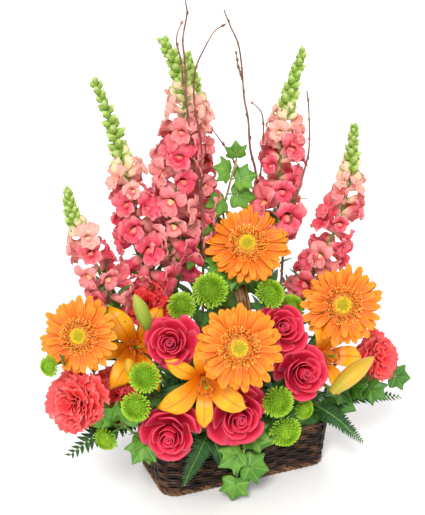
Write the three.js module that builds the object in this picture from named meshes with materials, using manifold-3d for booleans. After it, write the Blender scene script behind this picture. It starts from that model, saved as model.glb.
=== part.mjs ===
// A flower arrangement in a low woven basket with an arched handle.
// Millimetres, +Z up. The origin is the middle of the basket's underside, +X runs along
// the basket's long side and -Y is the front that the blooms face.
import * as THREE from "three";
import { mergeVertices } from "three/addons/utils/BufferGeometryUtils.js";
import Module from "manifold-3d";

const wasm = await Module();
wasm.setup();

// ---- driving dimensions ----

const GAP = 0.35; // clearance between neighbouring pieces
const BLADE = 1.5; // thickness of a petal or leaf at its middle
const WELD = 1e-3; // points closer than this are one

const BASKET = {
  length: 215, // outside, at the foot
  width: 100,
  corner: 20,
  height: 64,
  flare: 0.1, // outward lean of the walls, as a slope
  wall: 5,
  floor: 5,
  rows: 8, // courses of weaving
  columns: 42, // stakes round the wall
  relief: 1.4, // how far a strand stands in or out
  cord: 3.5, // radius of the twisted cords at the foot and the rim
};
const HANDLE = { rods: 4, pitch: 4.2, thickness: 3.8, segments: 12, top: 250 };
const LINER = { wall: 1.2, top: 60, sideRoom: 5.1 };
const FOAM = { length: 199.6, width: 77, corner: 19, top: 78 };
const STEM_FOOT = 60; // height of a stem's lower end, inside the foam

// Each bloom: the middle of its face, the way it faces, its width, and where its stem
// enters the foam.
const GERBERAS = {
  top: { at: [10, -15, 293], facing: [-0.26, -0.65, 0.71], across: 98, foot: [22, 6] },
  front: { at: [-49, -130, 227], facing: [-0.35, -0.87, 0.36], across: 94, foot: [-22, -12] },
  right: { at: [113, -60, 220], facing: [-0.36, -0.83, 0.42], across: 98, foot: [58, -10] },
  left: { at: [-201, -50, 232], facing: [-0.42, -0.8, 0.43], across: 86, foot: [-80, 8] },
};

const LILIES = {
  left: { at: [-137, -46, 205], facing: [-0.15, -0.9, 0.4], span: 112, foot: [-56, -12], spin: 0.4 },
  middle: { at: [-79, -106, 178], facing: [-0.3, -0.94, 0.12], span: 118, foot: [-40, -28], spin: 0.06 },
  right: { at: [93, -64, 160], facing: [0.1, -0.95, 0.3], span: 112, foot: [42, -12], spin: 0.42 },
};
// Lily buds: the lily they branch from, the lower end and the tip.
const LILY_BUDS = [
  { on: "left", from: [-124, -56, 226], to: [-146, -74, 282], radius: 9 },
  { on: "left", from: [-150, -70, 184], to: [-157, -80, 211], radius: 6 },
  { on: "right", from: [80, -102, 132], to: [137, -98, 166], radius: 10.5 },
];

const ROSES = {
  upper_left: { at: [-109, -82, 222], facing: [-0.4, -0.82, 0.42], across: 54, foot: [-40, -12] },
  lower_left: { at: [-116, -95, 117], facing: [-0.45, -0.88, 0.12], across: 62, foot: [-58, -29] },
  lower_middle: { at: [-34, -95, 122], facing: [-0.2, -0.95, 0.2], across: 66, foot: [-25, -30] },
  lower_right: { at: [50, -88, 157], facing: [-0.12, -0.92, 0.36], across: 60, foot: [28, -30] },
  upper_right: { at: [34, -62, 205], facing: [-0.1, -0.84, 0.52], across: 58, foot: [12, -14] },
};

const CARNATIONS = {
  far_left: { at: [-215, -60, 160], facing: [-0.75, -0.62, 0.2], across: 70, foot: [-88, -8] },
  left: { at: [-161, -48, 150], facing: [-0.45, -0.84, 0.3], across: 62, foot: [-72, -10] },
  right: { at: [175, -45, 133], facing: [0.4, -0.88, 0.25], across: 68, foot: [84, -12] },
  upper_left: { at: [-113, -18, 244], facing: [-0.35, -0.68, 0.64], across: 56, foot: [-48, 8] },
};

// Sprays of button chrysanthemums: where the branches part, and each head.
const SPRAYS = {
  far_left: {
    foot: [-66, 10],
    fork: [-150, -26, 196],
    heads: [
      { at: [-239, -62, 209], facing: [-0.85, -0.5, 0.1], across: 25 },
      { at: [-204, -30, 190], facing: [-0.5, 0.6, -0.6], across: 24 },
      { at: [-164, -22, 241], facing: [-0.5, -0.5, 0.7], across: 22 },
    ],
  },
  left: {
    foot: [-74, -28],
    fork: [-124, -58, 150],
    heads: [
      { at: [-143, -92, 191], facing: [-0.42, -0.85, 0.3], across: 35 },
      { at: [-155, -94, 158], facing: [-0.55, -0.8, 0.15], across: 34 },
      { at: [-183, -70, 111], facing: [-0.7, -0.65, -0.2], across: 29 },
    ],
  },
  top: {
    foot: [-10, -12],
    fork: [-44, -22, 216],
    heads: [
      { at: [-49, -48, 261], facing: [-0.2, -0.75, 0.6], across: 41 },
      { at: [-85, -52, 249], facing: [-0.4, -0.75, 0.5], across: 33 },
    ],
  },
  upper_right: {
    foot: [28, -12],
    fork: [38, -16, 190],
    heads: [
      { at: [26, -48, 245], facing: [0.1, -0.75, 0.65], across: 36 },
      { at: [60, -36, 216], facing: [0.1, -0.8, 0.55], across: 34 },
    ],
  },
  low_right: {
    foot: [12, -30],
    fork: [22, -62, 100],
    heads: [
      { at: [14, -100, 132], facing: [-0.1, -0.97, 0.2], across: 38 },
      { at: [56, -84, 105], facing: [0.2, -0.97, 0.0], across: 26 },
      { at: [28, -92, 85], facing: [-0.1, -0.98, -0.1], across: 40 },
    ],
  },
};

// Snapdragon spikes: the stem's foot, then points from the lowest floret to the tip.
const SNAPDRAGONS = {
  left: {
    foot: [-46, 27],
    line: [[-105, 0, 273], [-110, 6, 316], [-118, 12, 362], [-128, 20, 407], [-138, 26, 451],
      [-150, 30, 487]],
    reach: 27,
  },
  middle_left: {
    foot: [-30, 12],
    line: [[-78, 2, 301], [-68, 8, 363], [-60, 12, 419], [-54, 16, 465], [-62, 18, 501], [-76, 20, 528]],
    reach: 27,
  },
  middle_right: {
    foot: [-14, 27],
    line: [[-46, 22, 283], [-39, 28, 330], [-32, 34, 381], [-31, 38, 433], [-34, 42, 472], [-39, 44, 505]],
    reach: 26,
  },
  right: {
    foot: [36, 27],
    line: [[58, 8, 305], [63, 14, 346], [67, 20, 386], [75, 26, 432], [84, 30, 465], [97, 32, 501]],
    reach: 27,
  },
  far_left: {
    foot: [-62, 27],
    line: [[-155, -8, 258], [-166, -4, 290], [-178, 0, 322], [-188, 5, 350], [-192, 8, 376]],
    reach: 22,
  },
  far_right: {
    foot: [66, 27],
    line: [[112, 2, 248], [140, 10, 293], [156, 16, 334], [161, 20, 370], [165, 24, 409]],
    reach: 24,
  },
};

// Willow rods, with the side twigs that leave them.
const WILLOWS = {
  left: {
    foot: [-30, 29],
    line: [[-39, 0, 240], [-40, -3, 297], [-43, -5, 352], [-54, -6, 412], [-59, -6, 460], [-61, -6, 509],
      [-63, -6, 533], [-58, -6, 561], [-60, -6, 573]],
    twigs: [
      [[-59, -6, 460], [-63, -6, 485], [-65, -6, 509], [-70, -6, 535], [-64, -6, 551]],
      [[-43, -5, 352], [-43, -6, 422], [-49, -6, 450], [-51, -6, 477], [-48, -6, 503], [-38, -5, 522],
        [-26, -4, 539], [-13, -4, 546]],
    ],
  },
  middle: {
    foot: [12, 28],
    line: [[33, 28, 287], [40, 28, 330], [37, 24, 368], [28, 20, 397], [23, 16, 434], [17, 14, 459],
      [13, 13, 496], [8, 12, 521], [-2, 12, 542], [-9, 12, 558]],
    twigs: [
      [[15, 14, 478], [9, 13, 496], [6, 12, 510]],
      [[40, 28, 330], [44, 25, 368], [45, 22, 408], [43, 20, 433], [39, 18, 442], [26, 16, 454]],
      [[38, 26, 342], [20, 23, 368], [5, 21, 390], [-8, 20, 410], [-22, 20, 429]],
    ],
  },
  right: {
    foot: [46, 8],
    line: [[53, -18, 239], [55, -18, 280], [62, -16, 311], [71, -14, 340], [82, -12, 375], [88, -10, 398],
      [87, -8, 446], [84, -8, 466]],
    twigs: [],
  },
};

// Ivy trails: the vine, then each leaf's attachment, tip and length.
const IVIES = {
  back: {
    foot: [2, 10],
    line: [[15, 16, 210], [14, 20, 256], [6, 26, 290], [-2, 28, 320], [2, 20, 356], [8, 14, 388]],
    leaves: [
      { at: [5, 17, 372], to: [-18, 8, 384], length: 26 },
      { at: [4, 18, 364], to: [28, 8, 370], length: 26 },
      { at: [8, 14, 388], to: [4, 6, 410], length: 22 },
      { at: [1, 21, 346], to: [30, 10, 342], length: 28 },
      { at: [1, 22, 340], to: [-28, 10, 340], length: 28 },
      { at: [-2, 28, 320], to: [-36, 18, 310], length: 28 },
      { at: [2, 27, 306], to: [-16, 58, 312], length: 34 },
      { at: [10, 22, 270], to: [36, 52, 268], length: 36 },
    ],
  },
  front: {
    foot: [-12, -31],
    line: [[-15, -62, 86], [-19, -80, 74], [-24, -84, 54], [-30, -84, 36]],
    leaves: [
      { at: [-16, -70, 83], to: [2, -98, 84], length: 30 },
      { at: [-20, -82, 68], to: [-48, -90, 60], length: 32 },
      { at: [-26, -84, 50], to: [4, -92, 40], length: 32 },
      { at: [-30, -84, 36], to: [-36, -86, 8], length: 30 },
      { at: [-16, -66, 84], to: [24, -80, 62], length: 36 },
    ],
  },
  left: {
    foot: [-90, -26],
    line: [[-118, -50, 92], [-140, -64, 102], [-158, -66, 120], [-168, -62, 136]],
    leaves: [
      { at: [-128, -56, 94], to: [-150, -70, 76], length: 30 },
      { at: [-140, -64, 102], to: [-134, -92, 86], length: 28 },
      { at: [-168, -62, 136], to: [-186, -76, 146], length: 26 },
      { at: [-118, -50, 92], to: [-128, -22, 84], length: 32 },
      { at: [-160, -66, 124], to: [-182, -50, 116], length: 28 },
    ],
  },
  right: {
    foot: [90, -22],
    line: [[118, -50, 101], [142, -60, 107], [170, -56, 110], [188, -50, 108]],
    leaves: [
      { at: [118, -50, 101], to: [104, -80, 106], length: 30 },
      { at: [150, -60, 108], to: [160, -84, 102], length: 28 },
      { at: [188, -50, 108], to: [214, -56, 102], length: 28 },
      { at: [142, -60, 107], to: [150, -34, 116], length: 30 },
      { at: [128, -55, 104], to: [134, -78, 116], length: 28 },
    ],
  },
};

// Leatherleaf ferns: where the stalk parts, then each frond's rib, the widest reach of
// its pinnae and the way its upper face looks.
const FERNS = {
  left: {
    foot: [-88, 10],
    fork: [-106, -4, 98],
    fronds: [
      {
        line: [[-126, -20, 108], [-158, -42, 116], [-193, -60, 112], [-226, -76, 104]],
        reach: 25,
        up: [0, -0.5, 0.87],
      },
    ],
  },
  right: {
    foot: [72, -30],
    fork: [86, -48, 88],
    fronds: [
      {
        line: [[110, -50, 92], [136, -51, 93], [166, -54, 87], [204, -58, 78]],
        reach: 23,
        up: [0, -0.5, 0.87],
      },
      {
        line: [[94, -66, 86], [106, -78, 77], [120, -83, 62], [138, -84, 42]],
        reach: 19,
        up: [0.2, -0.9, 0.4],
      },
    ],
  },
  front: {
    foot: [-49, -31],
    fork: [-56, -58, 86],
    fronds: [
      {
        line: [[-66, -72, 84], [-78, -79, 70], [-88, -80, 50], [-98, -78, 26]],
        reach: 19,
        up: [-0.1, -0.95, 0.3],
      },
      {
        line: [[-54, -72, 80], [-50, -78, 68], [-48, -78, 56], [-44, -76, 42]],
        reach: 15,
        up: [0, -0.95, 0.3],
      },
    ],
  },
  back: {
    foot: [22, 33],
    fork: [22, 58, 92],
    fronds: [
      {
        line: [[-4, 66, 112], [-34, 74, 140], [-62, 80, 174], [-86, 84, 212]],
        reach: 32,
        up: [0.1, 0.95, 0.3],
      },
      {
        line: [[22, 66, 122], [18, 74, 152], [12, 80, 192], [6, 84, 234]],
        reach: 32,
        up: [0, 0.95, 0.3],
      },
      {
        line: [[42, 62, 108], [64, 70, 132], [88, 77, 166], [110, 80, 202]],
        reach: 32,
        up: [-0.1, 0.95, 0.3],
      },
    ],
  },
};

// ---- solids from geometries ----

const vec = (x, y, z) => new THREE.Vector3(x, y, z);
const point = (list) => new THREE.Vector3(...list);

function surface(points, index) {
  const geometry = new THREE.BufferGeometry().setFromPoints(points);
  geometry.setIndex(index);
  return geometry;
}

function body(positions, faces) {
  const mesh = new wasm.Mesh({
    numProp: 3,
    vertProperties: Float32Array.from(positions),
    triVerts: Uint32Array.from(faces),
  });
  return new wasm.Manifold(mesh);
}

// A solid from a geometry whose faces meet edge to edge, turned to face outward.
function solid(geometry) {
  const plain = geometry.clone();
  plain.deleteAttribute("normal");
  plain.deleteAttribute("uv");
  const merged = mergeVertices(plain, WELD);
  const index = merged.index.array;
  const faces = [];
  for (let i = 0; i < index.length; i += 3) {
    const [a, b, c] = [index[i], index[i + 1], index[i + 2]];
    if (a !== b && b !== c && c !== a) faces.push(a, b, c);
  }
  const positions = merged.attributes.position.array;
  const made = body(positions, faces);
  return made.volume() < 0 ? body(positions, faces.reverse()) : made;
}

// Joins solids and geometries, the geometries first moved by a matrix when one is given.
function fuse(parts, matrix = new THREE.Matrix4()) {
  const solids = parts.map((part) => (part.isBufferGeometry ? solid(part.applyMatrix4(matrix)) : part));
  return wasm.Manifold.union(solids);
}

// The main body of a solid: loose scraps go and closed hollows fill.
function mainBody(made) {
  return made.decompose().reduce((a, b) => (b.volume() > a.volume() ? b : a));
}

function toGeometry(made) {
  const mesh = made.getMesh();
  const corners = new Float32Array(mesh.numVert * 3);
  for (let i = 0; i < mesh.numVert; i++) {
    const start = i * mesh.numProp;
    corners.set(mesh.vertProperties.subarray(start, start + 3), i * 3);
  }
  const geometry = new THREE.BufferGeometry();
  geometry.setAttribute("position", new THREE.BufferAttribute(corners, 3));
  geometry.setIndex(new THREE.BufferAttribute(Uint32Array.from(mesh.triVerts), 1));
  return geometry;
}

// ---- clearances ----

// A copy of a solid whose surface stands out by the gap, to cut its neighbours with.
function grown(made, gap) {
  const mesh = made.getMesh();
  const corners = [];
  for (let i = 0; i < mesh.numVert; i++) {
    const start = i * mesh.numProp;
    corners.push(vec(...mesh.vertProperties.slice(start, start + 3)));
  }
  const around = corners.map(() => []);
  for (let i = 0; i < mesh.triVerts.length; i += 3) {
    const ids = [...mesh.triVerts.slice(i, i + 3)];
    const [a, b, c] = ids.map((id) => corners[id]);
    const cross = b.clone().sub(a).cross(c.clone().sub(a));
    if (cross.lengthSq() < 1e-12) continue;
    const normal = cross.normalize();
    ids.forEach((id, k) => {
      const here = corners[id];
      const next = corners[ids[(k + 1) % 3]].clone().sub(here);
      const last = corners[ids[(k + 2) % 3]].clone().sub(here);
      around[id].push({ normal, angle: next.angleTo(last) });
    });
  }
  const moved = corners.map((corner, i) => {
    const lean = vec(0, 0, 0);
    for (const face of around[i]) lean.addScaledVector(face.normal, face.angle);
    if (lean.lengthSq() < 1e-12) return corner;
    lean.normalize();
    const least = Math.min(...around[i].map((face) => face.normal.dot(lean)));
    return corner.clone().addScaledVector(lean, gap / Math.max(0.4, least));
  });
  return body(moved.flatMap((p) => [p.x, p.y, p.z]), mesh.triVerts);
}

function boxesMeet(a, b) {
  const first = a.boundingBox();
  const second = b.boundingBox();
  return [0, 1, 2].every((k) => first.min[k] <= second.max[k] && second.min[k] <= first.max[k]);
}

// Pieces are kept in order: each one gives way to those before it.
const pieces = [];

function keep(name, made, material) {
  let shape = mainBody(made);
  for (const piece of pieces) {
    if (boxesMeet(piece.cutter, shape)) shape = shape.subtract(piece.cutter);
  }
  shape = mainBody(solid(toGeometry(mainBody(shape))));
  pieces.push({ name, shape, material, cutter: grown(shape, GAP).add(shape) });
}

// ---- shared shapes ----

// Triangles between two rows of points that run the same way.
function stitch(index, inner, outer, flip) {
  let i = 0;
  let k = 0;
  while (i + 1 < inner.length || k + 1 < outer.length) {
    const innerDone = i + 1 >= inner.length;
    const outerDone = k + 1 >= outer.length;
    const outward = !outerDone && (innerDone || (k + 1) / (outer.length - 1) <= (i + 1) / (inner.length - 1));
    const face = [inner[i], outer[k], outward ? outer[k + 1] : inner[i + 1]];
    index.push(...(flip ? face.reverse() : face));
    if (outward) k++;
    else i++;
  }
}

function capEnd(points, index, start, count) {
  if (count < 3) return;
  if (count < 5) {
    for (let k = 1; k + 1 < count; k++) index.push(start, start + k, start + k + 1);
    return;
  }
  const middle = vec(0, 0, 0);
  for (let k = 0; k < count; k++) middle.addScaledVector(points[start + k], 1 / count);
  points.push(middle);
  for (let k = 0; k < count; k++) index.push(start + k, start + ((k + 1) % count), points.length - 1);
}

// A skin over rings of points; an end ring may be a single point.
function loft(rings) {
  const points = [];
  const index = [];
  const starts = [];
  for (const ring of rings) {
    starts.push(points.length);
    points.push(...ring);
  }
  for (let i = 0; i + 1 < rings.length; i++) {
    const near = rings[i].length;
    const far = rings[i + 1].length;
    for (let k = 0; k < Math.max(near, far); k++) {
      const a = starts[i] + (k % near);
      const b = starts[i] + ((k + 1) % near);
      const c = starts[i + 1] + ((k + 1) % far);
      const d = starts[i + 1] + (k % far);
      index.push(a, b, c, a, c, d);
    }
  }
  const first = [];
  capEnd(points, first, starts[0], rings[0].length);
  index.push(...first.reverse());
  capEnd(points, index, starts[rings.length - 1], rings[rings.length - 1].length);
  return surface(points, index);
}

// A tube along a curve, its radius a function of the way along.
function tube(path, segments, sides, radiusAt) {
  const frames = path.computeFrenetFrames(segments, false);
  const rings = [];
  for (let i = 0; i <= segments; i++) {
    const centre = path.getPointAt(i / segments);
    const radius = radiusAt(i / segments);
    const ring = [];
    for (let k = 0; k < sides; k++) {
      const turn = (2 * Math.PI * k) / sides;
      const out = frames.normals[i].clone().multiplyScalar(Math.cos(turn) * radius);
      out.addScaledVector(frames.binormals[i], Math.sin(turn) * radius);
      ring.push(out.add(centre));
    }
    rings.push(ring);
  }
  return loft(rings);
}

// A pointed bud between two points.
function bud(from, to, radius, sides, stations) {
  const axis = to.clone().sub(from);
  const turn = new THREE.Quaternion().setFromUnitVectors(vec(0, 0, 1), axis.clone().normalize());
  const rings = stations.map(([along, wide]) => {
    const centre = from.clone().addScaledVector(axis, along);
    if (!wide) return [centre];
    const ring = [];
    for (let k = 0; k < sides; k++) {
      const angle = (2 * Math.PI * k) / sides;
      const out = vec(Math.cos(angle), Math.sin(angle), 0).multiplyScalar(radius * wide);
      ring.push(out.applyQuaternion(turn).add(centre));
    }
    return ring;
  });
  return loft(rings);
}

// Closes a ring of point numbers over a middle point, or flat across when there is none.
function closeRing(index, ring, middle, flip) {
  const count = ring.length;
  if (middle === null) {
    const half = Math.ceil(count / 2);
    stitch(index, ring.slice(half).reverse(), ring.slice(0, half), flip);
    return;
  }
  for (let i = 0; i < count; i++) {
    const face = [middle, ring[i], ring[(i + 1) % count]];
    index.push(...(flip ? face.reverse() : face));
  }
}

// A bloom in one closed skin round +Z: layers of petals from the back to the front, each
// standing over the gaps of the one behind. A layer gives the ring its petals grow from,
// stations along a petal (reach, half width, height, cupping) and the points of its rim
// (reach, sideways, height). The front gives the last ring and the height of the heart.
// Without a height the back or the heart is closed flat.
function bloomSkin(count, scale, back, layers, front, turn = 0) {
  const points = [];
  const index = [];
  const pitch = (2 * Math.PI) / count;
  const add = (radius, angle, z) => {
    points.push(vec(radius * Math.cos(angle), radius * Math.sin(angle), z).multiplyScalar(scale));
    return points.length - 1;
  };
  const ringAt = ([radius, z], j) => {
    const ring = [];
    for (let i = 0; i < count; i++) ring.push(add(radius, (i - 0.5 + 0.5 * j + turn) * pitch, z));
    return ring;
  };
  const rings = [...layers.map((layer, j) => ringAt(layer.root, j)), ringAt(front.root, layers.length)];
  closeRing(index, rings[0], back === null ? null : add(0, 0, back), true);
  closeRing(index, rings[layers.length], front.heart === null ? null : add(0, 0, front.heart), false);
  layers.forEach((layer, j) => {
    const thick = (layer.thick ?? BLADE) / 2 / scale;
    const centres = [layer.root, ...layer.stations.map(([out, half, up]) => [out, up])];
    const last = layer.rim[Math.floor(layer.rim.length / 2)];
    centres.push([last[0], last[2]]);
    for (let i = 0; i < count; i++) {
      const next = (i + 1) % count;
      const middle = (i + 0.5 * j + turn) * pitch;
      const upper = [[rings[j][i], rings[j + 1][i], rings[j][next]]];
      const lower = [[rings[j][i], rings[j][next]]];
      layer.stations.forEach(([out, half, up, cup], s) => {
        const run = centres[s + 2][0] - centres[s][0];
        const lift = centres[s + 2][1] - centres[s][1];
        const size = Math.hypot(run, lift);
        const [dx, dz] = [(-lift / size) * thick, (run / size) * thick];
        const sides = [-1, 1].map((side) => add(out, middle + (side * half) / out, up + cup));
        upper.push([sides[0], add(out + dx, middle, up + dz), sides[1]]);
        lower.push([sides[0], add(out - dx, middle, up - dz), sides[1]]);
      });
      const rim = layer.rim.map(([out, side, up]) => add(out, middle + side / out, up));
      upper.push(rim);
      lower.push(rim);
      for (let s = 0; s + 1 < upper.length; s++) {
        stitch(index, upper[s], upper[s + 1], false);
        stitch(index, lower[s], lower[s + 1], true);
      }
      index.push(rings[j + 1][i], rings[j][next], rings[j + 1][next]);
    }
  });
  return surface(points, index);
}

// A flat leaf from an outline that runs from its base round to its tip and back,
// bent down towards its edge.
function leaf(outline, from, to, up, length, droop, thickness = BLADE) {
  const along = to.clone().sub(from).normalize();
  const side = up.clone().cross(along).normalize();
  const face = along.clone().cross(side);
  const place = (x, y, z) => {
    const there = from.clone().addScaledVector(along, x * length);
    return there.addScaledVector(side, y * length).addScaledVector(face, z);
  };
  const middle = 0.36;
  const rim = outline.map(([x, y]) => place(x, y, -droop * length * ((x - middle) ** 2 + y * y)));
  const points = [...rim, place(middle, 0, thickness / 2), place(middle, 0, -thickness / 2)];
  const index = [];
  rim.forEach((unused, k) => {
    const next = (k + 1) % rim.length;
    index.push(k, next, rim.length, next, k, rim.length + 1);
  });
  return surface(points, index);
}

function mirrored(half) {
  return [...half, ...half.slice(1, -1).reverse().map(([x, y]) => [x, -y])];
}

// Turns +Z to the way a bloom faces and moves it to its place.
function seat(bloom) {
  const facing = point(bloom.facing).normalize();
  const turn = new THREE.Quaternion().setFromUnitVectors(vec(0, 0, 1), facing);
  return new THREE.Matrix4().compose(point(bloom.at), turn, vec(1, 1, 1));
}

// The curve of a stem from the foam into the back of a bloom.
function stemPath(bloom, depth) {
  const facing = point(bloom.facing).normalize();
  const end = point(bloom.at).addScaledVector(facing, depth);
  const foot = vec(bloom.foot[0], bloom.foot[1], STEM_FOOT);
  const span = foot.distanceTo(end);
  const rise = foot.clone().lerp(end, 0.12);
  rise.z = foot.z + (bloom.at[2] < 170 ? 0.36 : 0.42) * span;
  const arrive = end.clone().addScaledVector(facing, -0.28 * span);
  return new THREE.CubicBezierCurve3(foot, rise, arrive, end);
}

function curveThrough(foot, line) {
  const start = vec(foot[0], foot[1], STEM_FOOT);
  const out = point(line[0]);
  const rise = start.clone().lerp(out, 0.14);
  rise.z = FOAM.top + 6;
  return new THREE.CatmullRomCurve3([start, rise, ...line.map(point)], false, "centripetal");
}

// ---- materials ----

function finish(colour, roughness) {
  return new THREE.MeshStandardMaterial({ color: colour, roughness, metalness: 0 });
}

const darkWillow = () => finish("#2b1a12", 0.7);
const paleWillow = () => finish("#9a7348", 0.6);
const plastic = () => finish("#2f3a2c", 0.45);
const foamGreen = () => finish("#3f6b3a", 0.95);
const stemGreen = () => finish("#5d8a35", 0.6);
const orangePetal = () => finish("#f5851f", 0.55);
const amberPetal = () => finish("#f39a1e", 0.5);
const rosePetal = () => finish("#e2335e", 0.55);
const coralPetal = () => finish("#ec5a50", 0.65);
const limePetal = () => finish("#a9c93a", 0.6);
const snapPetal = () => finish("#f0707a", 0.55);
const bark = () => finish("#6d3f2c", 0.7);
const ivyGreen = () => finish("#4f8a33", 0.5);
const fernGreen = () => finish("#2f5e2a", 0.6);

// ---- basket, handle, liner and foam ----

function roundedLoop(length, width, corner) {
  const [x, y] = [length / 2, width / 2];
  const path = new THREE.Path();
  path.moveTo(x - corner, -y);
  path.absarc(x - corner, -y + corner, corner, -Math.PI / 2, 0);
  path.absarc(x - corner, y - corner, corner, 0, Math.PI / 2);
  path.absarc(-x + corner, y - corner, corner, Math.PI / 2, Math.PI);
  path.absarc(-x + corner, -y + corner, corner, Math.PI, 1.5 * Math.PI);
  path.lineTo(x - corner, -y);
  return path;
}

// A ring of points on a rounded rectangle at a height, pushed outward by a function.
function loopRing(length, width, corner, z, count, push = () => 0) {
  const path = roundedLoop(length, width, corner);
  const ring = [];
  for (let i = 0; i < count; i++) {
    const here = path.getPointAt(i / count);
    const tangent = path.getTangentAt(i / count);
    const out = push(i);
    ring.push(vec(here.x + tangent.y * out, here.y - tangent.x * out, z));
  }
  return ring;
}

function flaredRing(inset, z, count, push) {
  const grow = 2 * (BASKET.flare * z - inset);
  return loopRing(BASKET.length + grow, BASKET.width + grow, BASKET.corner - inset, z, count, push);
}

// The wall in one skin: a twisted cord at the foot, courses that bulge where a strand
// passes in front of a stake and dip where it passes behind, and a cord along the rim.
function wovenWall() {
  const { relief, rows, columns, height, cord } = BASKET;
  const levels = [];
  const level = (z, push) => levels.push(flaredRing(relief, z, columns, push));
  const twist = (start) => (i) => cord + ((i + start) % 2 ? 0.7 : -0.6);
  const top = height - 2 * cord;
  const course = (top - 2 * cord) / rows;
  level(0, () => 1.2);
  level(1.6, twist(0));
  level(5.2, twist(1));
  for (let row = 0; row < rows; row++) {
    level(2 * cord + row * course, () => -relief);
    level(2 * cord + (row + 0.5) * course, (i) => relief * ((i + row) % 2 ? 1.1 : -0.9));
  }
  level(top, () => -relief);
  level(top + 1.8, twist(0));
  level(top + 5.2, twist(1));
  level(height + 1.2, () => 1);
  return loft(levels);
}

function makeBasket() {
  const inside = loft([
    flaredRing(BASKET.wall, BASKET.floor, 24),
    flaredRing(BASKET.wall, BASKET.height + 6, 24),
  ]);
  return solid(wovenWall()).subtract(solid(inside));
}

// Rods lie side by side in the handle, so its band is ribbed on both faces.
function makeHandle() {
  const { rods, pitch, thickness, segments, top } = HANDLE;
  const y = BASKET.width / 2 - BASKET.wall - 0.6 - thickness / 2;
  const side = [[y + 0.63, 6.3], [y + 6.2, 62], [53, 112], [51, 162], [41, 206], [23, top - 12]];
  const front = side.map(([out, z]) => vec(0, -out, z));
  const back = side.map(([out, z]) => vec(0, out, z)).reverse();
  const path = new THREE.CatmullRomCurve3([...front, vec(0, 0, top), ...back], false, "centripetal");
  const rings = [];
  for (let i = 0; i <= segments; i++) {
    const centre = path.getPointAt(i / segments);
    const out = path.getTangentAt(i / segments).cross(vec(1, 0, 0)).normalize();
    const edge = [];
    for (let k = 0; k <= 2 * rods; k++) {
      edge.push([(k / 2 - rods / 2) * pitch, (k % 2 ? 1 : 0.45) * (thickness / 2)]);
    }
    const face = (hand) => edge.map(([x, h]) => vec(x, 0, 0).add(centre).addScaledVector(out, hand * h));
    rings.push([...face(1), ...face(-1).reverse()]);
  }
  return fuse([loft(rings)]);
}

function linerRing(inset, z) {
  const grow = 2 * (BASKET.flare * z - BASKET.wall - inset);
  const length = BASKET.length + grow - 1.2;
  const width = BASKET.width + grow - 2 * LINER.sideRoom;
  return loopRing(length, width, BASKET.corner - BASKET.wall, z, 20);
}

function makeLiner() {
  const base = BASKET.floor + GAP;
  const outside = loft([linerRing(0, base), linerRing(0, LINER.top)]);
  const inside = loft([linerRing(LINER.wall, base + LINER.wall), linerRing(LINER.wall, LINER.top + 4)]);
  return solid(outside).subtract(solid(inside));
}

function makeFoam() {
  const base = BASKET.floor + LINER.wall + 2 * GAP;
  const ring = (inset, z) =>
    loopRing(FOAM.length - 2 * inset, FOAM.width - 2 * inset, FOAM.corner - inset, z, 16);
  return fuse([loft([ring(0, base), ring(0, FOAM.top - 4), ring(4, FOAM.top)])]);
}

// ---- gerberas, for a bloom 96 mm across ----

const GERBERA_LAYERS = [
  { root: [12, -3], stations: [[40.5, 5, 1.5, 1.6]], rim: [[48, 0, 1.8]], thick: 2 },
  { root: [11.4, 2], stations: [[31, 4.8, 6, 1.6]], rim: [[38.5, 0, 7]], thick: 2 },
];
const EYE_LAYERS = [{ root: [8.6, 7.6], stations: [[13.5, 1.8, 11, 0.4]], rim: [[16, 0, 12.5]], thick: 1.4 }];

function gerberaPetals(bloom) {
  const scale = bloom.across / 96;
  return fuse([bloomSkin(13, scale, null, GERBERA_LAYERS, { root: [10.6, 4.6], heart: null })], seat(bloom));
}

// The green eye, its ring of small florets and the stem that carries it.
function gerberaEye(bloom) {
  const scale = bloom.across / 96;
  const eye = bloomSkin(9, scale, 6.2, EYE_LAYERS, { root: [7, 12.4], heart: 11.4 });
  const stem = tube(stemPath(bloom, 8 * scale), 7, 4, (t) => 2.8 - 0.6 * Math.sin(Math.PI * t));
  return fuse([fuse([eye], seat(bloom)), stem]);
}

// ---- lilies, for a bloom with a 120 mm span ----

const LILY_LAYERS = [
  { root: [8.4, -25], stations: [[26, 9.4, 1, 2.4], [46, 7.6, 3, 2]], rim: [[60, 0, -8]], thick: 1.8 },
  { root: [7.8, -22], stations: [[25, 13, 6, 4], [46, 11, 8, 3]], rim: [[62, 0, -2]], thick: 1.8 },
];
const STAMENS = [{ root: [2.4, -14], stations: [[12, 2.6, 17, 0]], rim: [[14, 0, 22]], thick: 1.4 }];
const LILY_BACK = -25; // height of the flat back of the throat

// Six tepals, with the stamens and the pistil standing in their throat.
function lilyBloom(bloom) {
  const scale = bloom.span / 120;
  const tepals = bloomSkin(3, scale, null, LILY_LAYERS, { root: [7, -20], heart: -21 }, bloom.spin);
  const crown = bloomSkin(5, scale, -23.5, STAMENS, { root: [2, -10], heart: 28 }, 0.3);
  return fuse([tepals, crown], seat(bloom));
}

const BUD_SHAPE = [[0, 0.35], [0.35, 0.95], [0.7, 0.9], [1, 0]];

// The stem ends at the back of the bloom, and its buds branch off lower down.
function lilyStem(name, bloom) {
  const path = stemPath(bloom, (LILY_BACK * bloom.span) / 120 - GAP);
  const parts = [tube(path, 6, 4, () => 2.6)];
  for (const { from, to, radius } of LILY_BUDS.filter((each) => each.on === name)) {
    const root = path.getPointAt(0.6);
    const rise = root.clone().lerp(point(from), 0.5).add(vec(0, 0, 4));
    const inner = point(from).lerp(point(to), 0.1);
    parts.push(bud(point(from), point(to), radius, 6, BUD_SHAPE));
    parts.push(tube(new THREE.QuadraticBezierCurve3(root, rise, inner), 3, 4, () => 1.8));
  }
  return fuse(parts);
}

// ---- roses, for a bloom 60 mm across ----

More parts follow.
